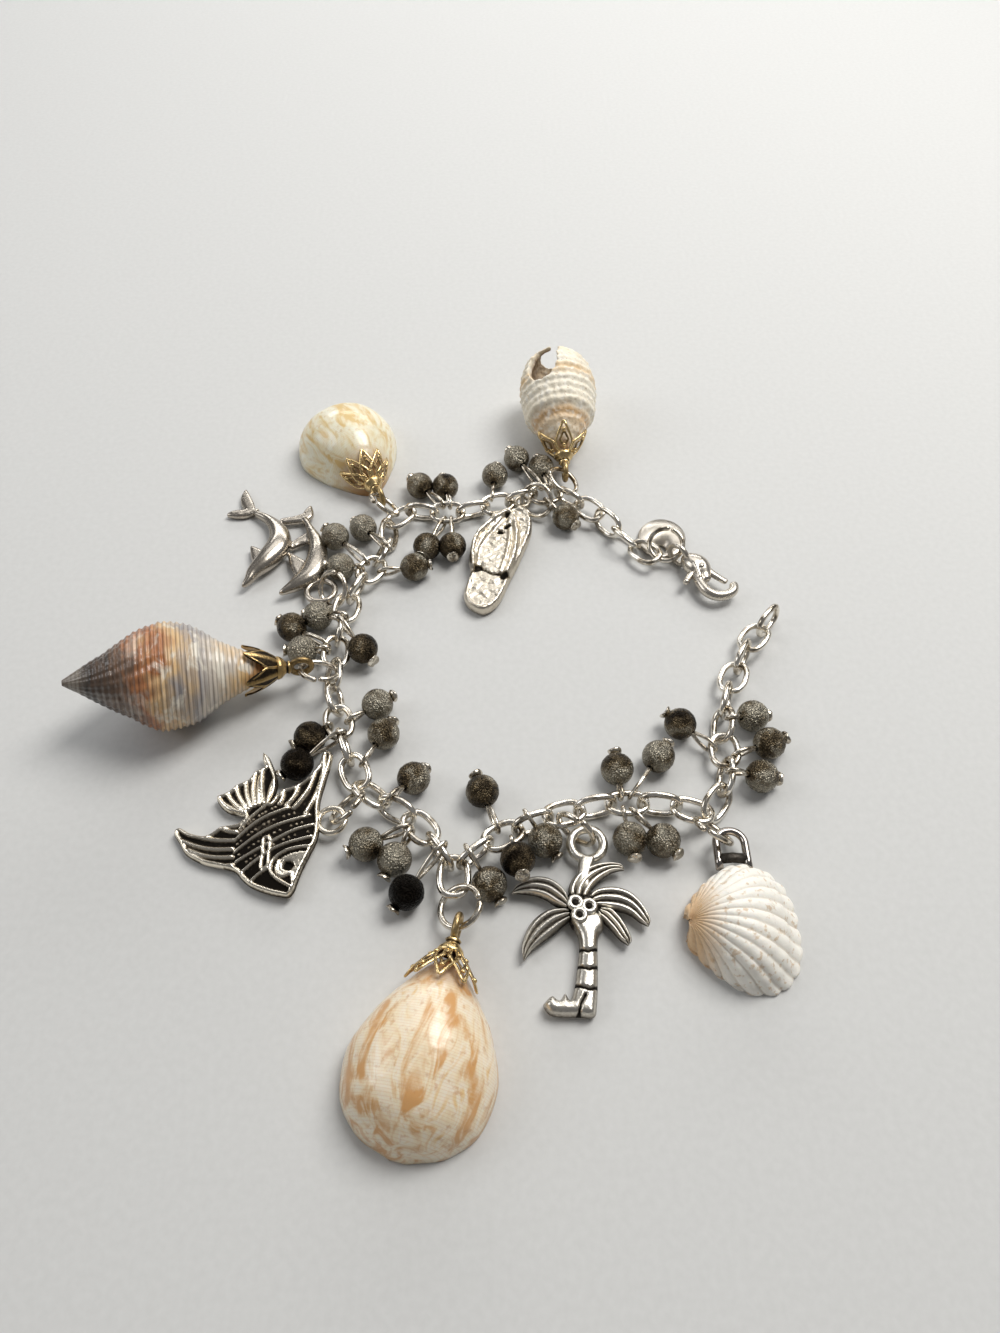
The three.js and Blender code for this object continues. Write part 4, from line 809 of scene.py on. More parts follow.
def frond(outer, inner):
    """A leaf with three long ridges and grooves between them, round at its edges and thin at its tip."""
    rows, columns = 40, 33
    upper = evenly(outer, rows) * PALM_HEIGHT
    lower = evenly(inner, rows) * PALM_HEIGHT
    w = np.linspace(0, 1, columns)
    edge = np.sqrt(np.clip(1 - (2 * w - 1) ** 4, 0, 1))
    ridge = np.abs(np.sin(np.pi * 3 * w)) ** 0.9
    flat = lower[:, None] * (1 - w[None, :, None]) + upper[:, None] * w[None, :, None]
    thin = np.sqrt(np.clip(np.linspace(1.02, 0.0, rows), 0, 1) ** 0.6)[:, None]
    high = (CAST_THICKNESS * 0.36 * edge + RELIEF_HEIGHT * 1.1 * ridge * edge)[None] * thin + 0.02
    low = (-CAST_THICKNESS * 0.45 * edge)[None] * thin - 0.02
    top = np.dstack([flat, np.broadcast_to(high, flat.shape[:2])])
    under = np.dstack([flat, np.broadcast_to(low, flat.shape[:2])])
    ring = np.concatenate([top, under[:, ::-1]], 1)
    count = ring.shape[1]
    faces = grid_faces(rows, count)
    faces += [tuple(range(count))[::-1], tuple(range((rows - 1) * count, rows * count))]
    # The grooves between the ridges are toned dark: oxide patina there and painted shade
    tone = np.concatenate([np.broadcast_to(ridge**1.2, (rows, columns)), np.full((rows, columns), 0.6)], 1)
    return solid(ring.reshape(-1, 3), faces, tone.ravel())


def limb(rows, scale, height_share, count=40, grooves=(), sides=20):
    """A flattened round limb along rows of x, y and half width, with dark grooves at the given y."""
    line = spline(rows, count)
    path = np.column_stack([line[:, :2] * scale, np.zeros(count)])
    radius = line[:, 2] * scale
    tone = np.full(count, 0.95)
    for groove in grooves:
        near = bump(np.abs(line[:, 1] - groove) * scale, 0.16)
        radius = radius - 0.14 * near
        tone = tone - 0.95 * near
    radius = radius * blunt(1, count, 4)
    return tube(path, radius, sides, flat=height_share).toned(np.repeat(np.clip(tone, 0, 1), sides))


def ball(x, y, z, radius, tone=0.9, squash=1.0):
    angles = np.linspace(0.05, math.pi - 0.05, 14)
    shape = turned([(-radius * math.cos(a), radius * math.sin(a)) for a in angles], 20)
    shape.points *= np.array([1, 1, squash])
    return shape.moved(Matrix.Translation((x, y, z))).toned(tone)


def make_palm():
    height = PALM_HEIGHT
    rise = CAST_THICKNESS / 2

    def bark(p, distance):
        swell = np.sqrt(np.clip(1 - (1 - np.minimum(distance / 1.0, 1)) ** 2, 0, 1))
        cut = bump(segment_distance(p, np.array(ROOT_SPLIT) * height), 0.2)
        for y in TRUNK_GROOVES:
            cut = np.maximum(cut, bump(np.abs(p[:, 1] - y * height - 0.3 * np.abs(p[:, 0] + 0.6)), 0.22))
        # The tone is darker in the grooves and towards the trunk's rounded edges: oxide patina there and painted
        # shade
        return 0.35 + (rise + RELIEF_HEIGHT * 0.9 - 0.35) * swell - 0.5 * cut, 0.3 + 0.65 * swell - 1.2 * cut

    def core(p, distance):
        neck = np.clip((p[:, 1] / height + 0.36) / 0.06, 0, 1)
        # The crown is toned dark below its neck, where it lies between the fronds: oxide patina there and painted
        # shade
        return np.full(len(p), rise * 0.75) + 0.25 * neck, 0.12 + 0.6 * neck

    trunk = cast_plate(spline(np.array(TRUNK) * height, 260, closed=True), rise, bark, 0.17, 0.4)
    crown = cast_plate(spline(np.array(PALM_CROWN) * height, 160, closed=True), rise * 0.8, core, 0.22, 0.4)
    nuts = []
    for x, y in NUTS:
        ring = tube(oval(NUT_DIAMETER * 0.66, NUT_DIAMETER * 0.66, count=32), NUT_DIAMETER * 0.17, 12,
                    closed=True)
        nuts.append(ring.moved(Matrix.Translation((x * height, y * height, 1.25))).toned(0.95))
        # Each nut's middle, sunk inside its ring, is toned 0: oxide patina there and painted shade
        nuts.append(ball(x * height, y * height, 0.75, NUT_DIAMETER * 0.36, 0.0))
    eye = eye_ring(PALM_EYE_DIAMETER, PALM_EYE_WIRE).toned(0.9)
    return joined([*[frond(*row) for row in FRONDS], trunk, crown, *nuts, eye])


# Dolphins: rows of x, y, height, half width and half height, from the snout to the tail
LEFT_DOLPHIN = [
    [-0.56, 0.04, 0.3, 0.014, 0.02], [-0.525, 0.10, 0.4, 0.032, 0.035], [-0.50, 0.17, 0.5, 0.05, 0.05],
    [-0.42, 0.29, 0.7, 0.08, 0.07], [-0.36, 0.42, 0.7, 0.09, 0.075], [-0.37, 0.56, 0.6, 0.075, 0.06],
    [-0.47, 0.72, 0.4, 0.04, 0.04], [-0.62, 0.83, 0.2, 0.022, 0.025],
]
RIGHT_DOLPHIN = [
    [-0.29, -0.03, 0.2, 0.014, 0.02], [-0.235, 0.01, 0.3, 0.034, 0.035], [-0.175, 0.055, 0.4, 0.055, 0.05],
    [-0.085, 0.16, 0.5, 0.082, 0.06], [-0.06, 0.32, 0.5, 0.075, 0.06], [-0.08, 0.46, 0.4, 0.06, 0.05],
    [-0.15, 0.62, 0.3, 0.032, 0.035], [-0.22, 0.76, 0.2, 0.02, 0.025],
]
DOLPHIN_FINS = [
    [[-0.59, 0.80], [-0.66, 0.83], [-0.71, 0.90], [-0.735, 1.0], [-0.71, 1.09], [-0.665, 1.02],
     [-0.61, 0.90]],
    [[-0.57, 0.86], [-0.62, 0.80], [-0.70, 0.775], [-0.81, 0.80], [-0.78, 0.84], [-0.68, 0.86]],
    [[-0.44, 0.38], [-0.50, 0.43], [-0.57, 0.46], [-0.565, 0.40], [-0.51, 0.27]],
    [[-0.19, 0.73], [-0.23, 0.78], [-0.22, 0.84], [-0.18, 0.89], [-0.155, 0.84], [-0.15, 0.77]],
    [[-0.18, 0.72], [-0.28, 0.70], [-0.40, 0.70], [-0.39, 0.745], [-0.30, 0.77], [-0.21, 0.80]],
    [[-0.15, 0.60], [-0.22, 0.55], [-0.30, 0.44], [-0.27, 0.42], [-0.20, 0.46], [-0.13, 0.50]],
    [[-0.10, 0.25], [-0.18, 0.32], [-0.28, 0.38], [-0.27, 0.30], [-0.24, 0.22], [-0.19, 0.13]],
    [[-0.16, 0.1], [-0.07, 0.055], [-0.04, 0.1], [-0.07, 0.2]],
]


def dolphin_body(rows):
    line = spline(np.array(rows), 46)
    path = np.column_stack([line[:, :2] * DOLPHIN_SIZE, line[:, 2]])
    share = line[:, 4] / line[:, 3]
    body = tube(path, line[:, 3] * DOLPHIN_SIZE * blunt(1, 46, 3), 24)
    middle = np.repeat(path[:, 2], 24)
    body.points[:, 2] = middle + (body.points[:, 2] - middle) * np.repeat(share, 24)
    return body


def make_dolphins():
    def rounded(p, distance):
        return np.full(len(p), CAST_THICKNESS * 0.36), np.ones(len(p))

    bodies = [dolphin_body(rows) for rows in (LEFT_DOLPHIN, RIGHT_DOLPHIN)]
    fins = [cast_plate(spline(np.array(fin) * DOLPHIN_SIZE, 60, closed=True), CAST_THICKNESS * 0.3,
                       rounded, 0.4)
            for fin in DOLPHIN_FINS]
    skin = melted(joined([*bodies, *fins]), 0.13, 4)
    return joined([skin.toned(0.8), eye_ring(DOLPHIN_EYE_DIAMETER, DOLPHIN_EYE_WIRE).toned(0.9)])


# Flip-flop: a worn sole with a raised rim, a strap with two edges to each side, and a seam before the heel
SOLE = [
    [-0.186, -0.122], [-0.097, -0.109], [-0.02, -0.09], [0.037, -0.118], [0.067, -0.199], [0.068, -0.315],
    [0.044, -0.42], [0.006, -0.523], [-0.038, -0.65], [-0.112, -0.831], [-0.148, -0.935], [-0.189, -1.014],
    [-0.242, -1.068], [-0.301, -1.091], [-0.378, -1.053], [-0.42, -0.998], [-0.434, -0.919], [-0.418, -0.839],
    [-0.396, -0.757], [-0.391, -0.7], [-0.405, -0.608], [-0.4, -0.541], [-0.384, -0.42], [-0.348, -0.342],
    [-0.268, -0.235], [-0.237, -0.154],
]
STRAPS = [
    [[-0.11, -0.154], [-0.186, -0.199], [-0.28, -0.289], [-0.348, -0.394], [-0.376, -0.523], [-0.37, -0.692]],
    [[-0.104, -0.154], [-0.06, -0.262], [-0.049, -0.394], [-0.062, -0.523], [-0.087, -0.642],
     [-0.136, -0.774]],
]
STRAP_EDGES = [
    [[-0.155, -0.199], [-0.236, -0.315], [-0.328, -0.472], [-0.361, -0.658]],
    [[-0.10, -0.22], [-0.10, -0.40], [-0.13, -0.60], [-0.17, -0.74]],
]
SEAM = [[-0.384, -0.741], [-0.294, -0.716], [-0.233, -0.757], [-0.148, -0.766]]
PITS = [[-0.117, -0.181, 0.4], [-0.12, -0.298, 0.5], [-0.173, -0.35, 0.4], [-0.336, -0.7, 0.6],
        [-0.145, -0.782, 0.55]]


def make_sandal():
    size = SANDAL_LENGTH
    outline = spline(np.array(SOLE) * size, 200, closed=True)
    raised = [(spline(np.array(row) * size, 40), 0.55, STRAP_HEIGHT) for row in STRAPS]
    raised += [(spline(np.array(row) * size, 40), 0.35, STRAP_HEIGHT * 0.6) for row in STRAP_EDGES]
    seam = spline(np.array(SEAM) * size, 40)

    def relief(p, distance):
        base = SANDAL_THICKNESS / 2
        rise = 0.28 * bump(np.abs(distance - 0.35), 0.5)
        for line, half, top in raised:
            rise = np.maximum(rise, top * bump(segment_distance(p, line), half) ** 0.6)
        rise += 0.16 * roughness_at(np.column_stack([p, p[:, 0] * 0]), 0.9)
        tone = np.full(len(p), 0.8)
        cut = bump(segment_distance(p, seam), 0.2)
        for x, y, half in PITS:
            cut = np.maximum(cut, bump(segment_distance(p, np.array([[x, y], [x + 0.01, y]]) * size),
                                       half) ** 0.4)
        # The seam and the pits are toned dark and the raised straps lighter: oxide patina in the hollows and
        # painted shade there
        return base + rise - 0.5 * cut, np.clip(tone + 0.3 * rise - 1.4 * cut, 0, 1)

    sole = cast_plate(outline, SANDAL_THICKNESS / 2, relief, step=0.22, round_off=0.5)
    neck = limb([[0.0, -0.045, 0.035], [-0.01, -0.09, 0.045], [-0.02, -0.14, 0.05]], size, 0.55, 12)
    return joined([sole, neck, eye_ring(SANDAL_EYE_DIAMETER, SANDAL_EYE_WIRE).toned(0.7)])


# Dome shells lie open side down. Rows along the length from the tip: place, half width, height, as shares.
ROUND_DOME = [
    [0, 0.06, 0.22], [0.06, 0.26, 0.46], [0.18, 0.52, 0.74], [0.36, 0.82, 0.94], [0.56, 1, 1],
    [0.76, 0.94, 0.9],
    [0.92, 0.62, 0.58], [1, 0.1, 0.08],
]
COCKLE_DOME = [
    [0, 0.08, 0.16], [0.05, 0.26, 0.5], [0.24, 0.66, 0.9], [0.5, 0.96, 1], [0.76, 0.94, 0.72],
    [0.93, 0.66, 0.34],
    [1, 0.32, 0.1],
]


def dome_surface(rows, size, shrink, rings, arc):
    """Points over a dome: one ring for each place along it, each an arc from one side over to the other."""
    line = spline(np.array(rows), rings)
    x = shrink + line[:, 0] * (size["length"] - 2 * shrink)
    reach = np.maximum(line[:, 1] * size["width"] / 2 - shrink, 0.02)
    rise = np.maximum(line[:, 2] * size["height"] - shrink, 0.02)
    angle = np.linspace(0, math.pi, arc)
    return np.stack([np.repeat(x[:, None], arc, 1), reach[:, None] * np.cos(angle),
                     rise[:, None] * np.sin(angle)], -1)


def two_skins(outer, inner):
    """Closes an outer and an inner dome of equal grids along their rim and their two ends."""
    rings, arc = outer.shape[:2]
    ring = np.concatenate([outer, inner[:, ::-1]], 1)
    faces = grid_faces(rings, 2 * arc)
    last = (rings - 1) * 2 * arc
    for k in range(arc - 1):
        faces.append((k + 1, k, 2 * arc - 1 - k, 2 * arc - 2 - k))
        faces.append((last + k, last + k + 1, last + 2 * arc - 2 - k, last + 2 * arc - 1 - k))
    return ring.reshape(-1, 3), faces


def make_dome(size, seed):
    outer = dome_surface(ROUND_DOME, size, 0, 90, 72)
    inner = dome_surface(ROUND_DOME, size, SHELL_WALL * 0.8, 90, 72)
    points, faces = two_skins(outer, inner)
    shape = solid(points, faces)
    shell = shape.points
    wave = roughness_at(shell + seed, 5.0, 2)
    growth = np.sin(shell[:, 0] * 5.5 + 1.2 * np.abs(shell[:, 1]) ** 1.2 * 0.3 + seed)
    lift = 0.07 * wave + 0.012 * growth
    lift[shell[:, 2] < 0.4] *= 0.2
    shape.points = shell + normals_of(shape) * lift[:, None]
    shape.points[:, 2] = np.maximum(shape.points[:, 2], 0)
    return shape


COCKLE_RIBS = 21
COCKLE_RIB_HEIGHT = 0.3


def cockle_valve():
    """A valve whose ribs fan out from its beak at the tip to a scalloped edge."""
    outline = spline(np.array(COCKLE_DOME), 60)
    half = COCKLE["width"] / 2
    rim = np.concatenate([
        np.column_stack([outline[:, 0] * COCKLE["length"], outline[:, 1] * half]),
        np.column_stack([outline[::-1, 0] * COCKLE["length"], -outline[::-1, 1] * half]),
    ])
    run = np.concatenate([[0], np.cumsum(np.linalg.norm(np.diff(rim, axis=0), axis=1))])
    columns, rings = COCKLE_RIBS * 10 + 1, 64
    place = np.linspace(0.02, 0.98, columns)
    edge = np.stack([np.interp(place * run[-1], run, rim[:, k]) for k in (0, 1)], -1)
    beak = np.array([0.35, 0.0])
    s = np.linspace(0.01, 1, rings)[:, None]
    swing = 1 - (1 - s) ** 1.35
    flat = beak + (edge[None] - beak) * np.stack([s * np.ones((1, columns)),
                                                  swing * np.ones((1, columns))], -1)
    share = np.clip(flat[..., 0] / COCKLE["length"], 0, 1)
    reach = np.interp(share, outline[:, 0], outline[:, 1]) * half
    rise = np.interp(share, outline[:, 0], outline[:, 2]) * COCKLE["height"]
    across = np.clip(np.abs(flat[..., 1]) / np.maximum(reach, 0.05), 0, 1)
    high = rise * np.sqrt(np.clip(1 - across**2.2, 0, 1)) * (1 - s**7 * 0.9)
    rib = np.abs(np.cos(np.pi * place * COCKLE_RIBS))[None] ** 0.75
    knots = 0.5 + 0.5 * np.sin(s * 58 + 3 * np.sin(place * 40))
    lift = COCKLE_RIB_HEIGHT * (0.25 + 0.75 * s) * rib * (1 + 0.25 * knots * s)
    growth = 0.05 * np.sin(s * 40) + 0.08 * np.sin(s * 11)
    outward = unit(np.dstack([flat - np.array([COCKLE["length"] * 0.45, 0]), high * 1.6 + 0.8]))
    top = np.dstack([flat, high + 0.35]) + outward * (lift + growth * s)[..., None]
    under = np.dstack([flat * 0.93 + np.array([0.45, 0]), np.maximum(high - SHELL_WALL * 0.75, 0.0)])
    under += outward * (lift * 0.5)[..., None]
    rim_low = top[-1:].copy()
    rim_low[..., 2] = 0.0
    rim_low[..., :2] = rim_low[..., :2] * 0.995
    outer = np.concatenate([top, rim_low])
    inner = np.concatenate([under, under[-1:] * np.array([1, 1, 0])])
    ring_count = rings + 1
    points = np.concatenate([outer.reshape(-1, 3), inner.reshape(-1, 3)])
    count = ring_count * columns
    faces = [f[::-1] for f in grid_faces(ring_count, columns, wrap_columns=False)]
    faces += [tuple(i + count for i in f) for f in grid_faces(ring_count, columns, wrap_columns=False)]
    border = list(range(columns - 1))
    for c in border:
        last = (ring_count - 1) * columns + c
        faces.append((last, last + 1, last + 1 + count, last + count))
        faces.append((c + 1, c, c + count, c + 1 + count))
    for r in range(ring_count - 1):
        a = r * columns
        faces.append((a, a + columns, a + columns + count, a + count))
        b = r * columns + columns - 1
        faces.append((b + columns, b, b + count, b + columns + count))
    tone = np.concatenate([np.concatenate([rib * np.ones((rings, 1)), rib]).ravel(), np.ones(count)])
    return solid(points, faces, tone)


# Snail shells turned on their length, as shares: place along it, half width
WHELK_ROWS = [
    [0, 0.13], [0.12, 0.32], [0.26, 0.58], [0.42, 0.94], [0.54, 1], [0.64, 0.86], [0.76, 0.6], [0.9, 0.28],
    [1, 0.05],
]
HORN_ROWS = [
    [0, 0.1], [0.14, 0.42], [0.28, 0.72], [0.48, 0.95], [0.66, 1], [0.86, 0.86], [1, 0.5],
]


def snail(rows, length, width, rings, sides, relief):
    """A shell turned along +X. Relief gives the share added to its radius at place and turn."""
    line = spline(np.array(rows), rings)
    angle = np.linspace(0, 2 * math.pi, sides, endpoint=False)
    place = np.repeat(line[:, :1], sides, 1)
    around = np.repeat(angle[None], rings, 0)
    radius = line[:, 1:2] * width / 2 * (1 + relief(place, around))
    points = np.stack([place * length, radius * np.cos(around), radius * np.sin(around)], -1).reshape(-1, 3)
    faces = grid_faces(rings, sides) + [tuple(range(sides))[::-1],
                                        tuple(range((rings - 1) * sides, rings * sides))]
    return solid(points, faces)


def ellipsoid(x, y, z):
    shape = ball(0, 0, 0, 1)
    shape.points *= np.array([x, y, z])
    shape.place = shape.points.copy()
    return shape


WHELK_CORDS = 34


def make_whelk():
    def relief(place, around):
        turns = 1.6 + 4.2 * np.clip(place - 0.45, 0, 1) ** 1.0
        whorl = np.mod(turns * (place > 0) - around / (2 * math.pi) + 0.25, 1)
        spire = np.clip((place - 0.48) / 0.12, 0, 1)
        step = spire * (0.07 * np.sin(whorl * math.pi) ** 0.5 - 0.05)
        cords = 0.014 * np.sin(2 * math.pi * (WHELK_CORDS * place - around / (2 * math.pi)))
        knobs = 0.016 * spire * np.sin(around * 22 + place * 30)
        return step + cords * (0.5 + 0.8 * (place < 0.93)) + knobs

    shell = snail(WHELK_ROWS, WHELK_LENGTH, WHELK_WIDTH, 330, 130, relief)
    mouth = ellipsoid(WHELK_LENGTH * 0.26, WHELK_WIDTH * 0.16, WHELK_WIDTH * 0.3)
    place = turn_about(Vector((1, 0, 0)),
                       62) @ Matrix.Translation((WHELK_LENGTH * 0.4, 0, WHELK_WIDTH * 0.42))
    return capped(carved(shell, [mouth.moved(place)]), WHELK_PETALS, 0, closed_petals=True)


HORN_CORDS = 15


def make_horn():
    def relief(place, around):
        spin = place - 0.03 * around / (2 * math.pi)
        cords = 0.022 * np.sin(2 * math.pi * HORN_CORDS * spin)
        shoulder = 0.06 * np.exp(-(((spin - 0.36) / 0.05) ** 2)) - 0.05 * np.exp(-(((spin - 0.27) / 0.04) ** 2))
        return cords + shoulder + 0.01 * np.sin(around * 30 + place * 9)

    shell = snail(HORN_ROWS, HORN_LENGTH, HORN_WIDTH, 150, 120, relief)
    hollow = ellipsoid(HORN_LENGTH * 0.36, HORN_WIDTH * 0.5 - SHELL_WALL, HORN_WIDTH * 0.5 - SHELL_WALL)
    hollow = hollow.moved(Matrix.Translation((HORN_LENGTH * 0.68, 0, 0)))
    mouth = ellipsoid(HORN_LENGTH * 0.2, HORN_WIDTH * 0.22, HORN_WIDTH * 0.6)
    tip = turn_about(Vector((1, 0, 0)), HORN_MOUTH_TURN) @ Matrix.Translation((HORN_LENGTH * 0.76, 0,
                                                                               HORN_WIDTH * 0.5))
    notch = ellipsoid(HORN_LENGTH * 0.14, HORN_WIDTH * 0.05, HORN_WIDTH * 0.5)
    split = turn_about(Vector((1, 0, 0)),
                       HORN_MOUTH_TURN + 25) @ Matrix.Translation((HORN_LENGTH * 0.98, 0, HORN_WIDTH * 0.35))
    skin = melted(carved(shell, [hollow, mouth.moved(tip), notch.moved(split)]), 0.17, 2)
    grain = roughness_at(skin.points, 1.3) * 0.12 + roughness_at(skin.points + 40, 0.4) * 0.05
    skin.points = skin.points + normals_of(skin) * grain[:, None]
    radius = np.linalg.norm(skin.place[:, 1:], axis=1)
    line = spline(np.array(HORN_ROWS), 60)
    outside = np.interp(skin.place[:, 0] / HORN_LENGTH, line[:, 0], line[:, 1]) * HORN_WIDTH / 2
    skin.tone = np.clip(1 - (outside - radius - 0.5) / 1.0, 0, 1)
    return capped(skin, HORN_PETALS, 0)


# Openwork caps: petals as wire kites on a collar with an eye on edge. A petal's line bends from the collar
# out over the shell: its angles from the axis at the collar and at the tip.
KITE = [[0, -0.07], [0.46, -0.25], [1, 0], [0.46, 0.25], [0, 0.07]]
DOME_PETALS = {"angles": [-80, -40, 0, 40, 80], "from": 52, "to": 22, "wire": 0.42}
WHELK_PETALS = {"angles": [0, 72, 144, 216, 288], "from": 44, "to": 12, "wire": 0.4}
HORN_PETALS = {"angles": [0, 72, 144, 216, 288], "from": 50, "to": 24, "wire": 0.42}


def bent(flat, petals, start):
    """Takes a flat petal, x out from the collar and y across it, to its bent place over the shell."""
    reach = np.clip(flat[:, 0], 0, None)
    share = reach / CAP_LENGTH
    open_angle = np.radians(petals["from"] + (petals["to"] - petals["from"]) * share / 2)
    along = start + reach * np.cos(open_angle)
    radial = COLLAR_BACK * 0.75 + reach * np.sin(open_angle)
    curl = flat[:, 1] / np.maximum(radial, 1.2)
    return np.stack([along, np.sin(curl) * radial, np.cos(curl) * radial + flat[:, 2]], -1)


def petal(petals, start, closed_petals):
    line = np.array([(x * CAP_LENGTH, y * CAP_LENGTH, 0) for x, y in KITE])
    corners = []
    for a, b in zip(line, np.roll(line, -1, 0)):
        corners += [a + (b - a) * t for t in (0.08, 0.3, 0.5, 0.7, 0.92)]
    frame_wire = tube(np.array(corners), petals["wire"] / 2, 10, closed=True, flat=0.75)
    veins = [[(0.02, 0), (0.5, 0.0), (0.98, 0)]]
    small = [(0.3, 0), (0.48, 0.12), (0.72, 0), (0.48, -0.12)]
    parts = [frame_wire.toned(0.9)]
    inner = np.array([(x * CAP_LENGTH, y * CAP_LENGTH, 0) for x, y in small])
    if closed_petals:
        leaf = cast_plate(spline(line[:, :2], 60, closed=True), 0.12,
                          lambda p, d: (np.full(len(p), 0.12) + 0.2 * bump(np.abs(p[:, 1]), 0.35),
                                        0.2 + 0.8 * bump(np.abs(p[:, 1]), 0.4)), 0.35, 0.1)
        parts.append(leaf)
    else:
        inner_line = np.concatenate([np.linspace(a, b, 5)[:-1] for a, b in zip(inner, np.roll(inner, -1, 0))])
        parts.append(tube(inner_line, petals["wire"] / 2.4, 8, closed=True, flat=0.8).toned(0.5))
        for x, y, _ in inner[[0, 2]]:
            parts.append(ball(x, y, 0.05, petals["wire"] * 0.75, 0.8))
    for vein in veins if closed_petals else []:
        parts.append(tube([(x * CAP_LENGTH, y, 0.1) for x, y in vein], 0.12, 8).toned(1))
    whole = joined(parts)
    whole.points = bent(whole.points, petals, start)
    return whole


def open_cap(petals, closed_petals):
    back = (CAP_EYE_DIAMETER - CAP_EYE_WIRE) / 2
    profile = [(back - 0.1, 0.25), (back, COLLAR_BACK * 0.8), (back + 0.25, COLLAR_BACK * 1.12),
               (back + 0.5, COLLAR_BACK * 0.92), (back + 0.75, COLLAR_BACK * 1.1), (back + 1.2, COLLAR_FRONT),
               (back + COLLAR_LENGTH, COLLAR_FRONT * 1.15), (back + COLLAR_LENGTH + 0.2, COLLAR_FRONT * 0.9),
               (back + 1.0, 0.3)]
    collar = turned(profile, 30)
    # The collar's groove is toned 0 and its ridges bright: oxide patina there and painted shade
    collar.tone = np.repeat([0.5, 0.7, 1, 0, 0.9, 0.7, 1, 0.4, 0.2], 30).astype(float)
    start = back + COLLAR_LENGTH * 0.6
    leaves = [petal(petals, start, closed_petals).moved(turn_about(Vector((1, 0, 0)), angle))
              for angle in petals["angles"]]
    eye = eye_ring(CAP_EYE_DIAMETER, CAP_EYE_WIRE, 14).moved(turn_about(Vector((1, 0, 0)), 90))
    return joined([*leaves, collar, eye.toned(0.6)])


def capped(shell, petals, drop, closed_petals=False):
    start = (CAP_EYE_DIAMETER - CAP_EYE_WIRE) / 2 + COLLAR_LENGTH + CAP_GAP
    return {"shell": shell.moved(Matrix.Translation((start, 0, -drop))),
            "cap": open_cap(petals, closed_petals)}


def make_cockle():
    drop = BAIL_HOLE / 2 + COCKLE["width"] * 0.56
    shell = cockle_valve().moved(Matrix.Translation((-COCKLE["length"] * 0.5, -drop, -COCKLE_DROP)))
    half = BAIL_WIDTH / 2
    band = (half - BAIL_HOLE / 2) / 2
    middle = BAIL_HOLE / 2 + band
    t = np.linspace(0, math.pi, 30)
    arch = [(middle * math.cos(a), middle * math.sin(a), 0) for a in t]
    path = [(middle, -half * 1.5, 0), (middle, -half, 0), (middle, -0.5, 0), *arch, (-middle, -0.5, 0),
            (-middle, -half, 0), (-middle, -half * 1.5, 0)]
    bow = tube(path, band * 1.02, 16, flat=BAIL_THICKNESS / 2 / band * 0.9)
    foot = tube([(-middle, -half * 0.9, 0), (0, -half * 0.82, 0), (middle, -half * 0.9, 0)], 0.62, 14,
                flat=0.75)
    return {"shell": shell, "bail": joined([bow.toned(0.9), foot.toned(0.2)])}


# Lobster clasp along +X from its eye, as shares of its length
CLASP_LOBE = [[0.06, 0.0, 0.06], [0.14, 0.02, 0.13], [0.24, 0.03, 0.175], [0.36, 0.03, 0.185],
              [0.46, 0.0, 0.15],
              [0.54, -0.04, 0.10], [0.62, -0.1, 0.075]]
CLASP_HOOK = [[0.40, -0.08], [0.50, -0.14], [0.62, -0.20], [0.76, -0.235], [0.90, -0.19], [0.985, -0.07],
              [1.0, 0.05], [0.96, 0.13], [0.90, 0.17]]
LEVER_LINE = [[0.40, 0.02, 0.075], [0.48, 0.08, 0.07], [0.60, 0.09, 0.06], [0.74, 0.105, 0.055],
              [0.84, 0.12, 0.05]]
LEVER_TAIL = [[0.40, -0.03, 0.06], [0.38, -0.12, 0.055], [0.39, -0.22, 0.05], [0.42, -0.30, 0.045]]
pivot = (CLASP_LENGTH * 0.42, 0)


def make_clasp():
    reach = CLASP_LENGTH
    lobe = limb(CLASP_LOBE, reach, CLASP_THICKNESS / CLASP_BODY_WIDTH, 40)
    line = spline(CLASP_HOOK, 60)
    path = np.column_stack([line * reach, np.zeros(60)])
    radius = np.interp(np.linspace(0, 1, 60), [0, 0.3, 0.8, 1], [0.5, 0.52, 0.46, 0.4]) * CLASP_HOOK_WIRE
    hook = tube(path, radius * blunt(1, 60, 4), 18)
    ridge = np.column_stack([spline([[0.10, 0.03], [0.24, 0.0], [0.40, -0.07], [0.56, -0.165]], 30) * reach,
                             np.interp(np.linspace(0, 1, 30), [0, 0.5, 1], [0.75, 1.05, 0.5])])
    back_ridge = ridge * np.array([1, 1, -1])
    ridges = [tube(way, 0.36 * blunt(1, 30, 4), 12) for way in (ridge, back_ridge)]
    collar = limb([[0.13, 0, 0.09], [0.19, 0.0, 0.10], [0.25, 0, 0.1]], reach, 1, 12)
    frame_skin = melted(joined([lobe, hook, collar, *ridges]), 0.1, 3).toned(0.8)
    pin = turned([(-CLASP_THICKNESS * 0.5, 0.1), (-CLASP_THICKNESS * 0.5, PIVOT_DIAMETER / 2),
                  (CLASP_THICKNESS * 0.5, PIVOT_DIAMETER / 2), (CLASP_THICKNESS * 0.5, 0.1)], 20)
    pin = pin.moved(Matrix.Translation((*pivot, 0)) @ turn_about(Vector((0, 1, 0)), 90)).toned(0.7)
    eye = eye_ring(CLASP_EYE_DIAMETER, CLASP_EYE_WIRE, 14).moved(turn_about(Vector((1, 0, 0)), 90)).toned(0.7)
    thin = LEVER_THICKNESS / 2
    arm = limb(LEVER_LINE, reach, thin / (0.075 * reach), 40)
    tail = limb(LEVER_TAIL, reach, thin / (0.06 * reach), 30)
    knob = ball(0.425 * reach, -0.32 * reach, 0, 0.5)
    lever = melted(joined([arm, tail, knob]), 0.09, 3).toned(0.85)
    return {"clasp_body": joined([frame_skin, pin, eye]), "clasp_lever": lever}


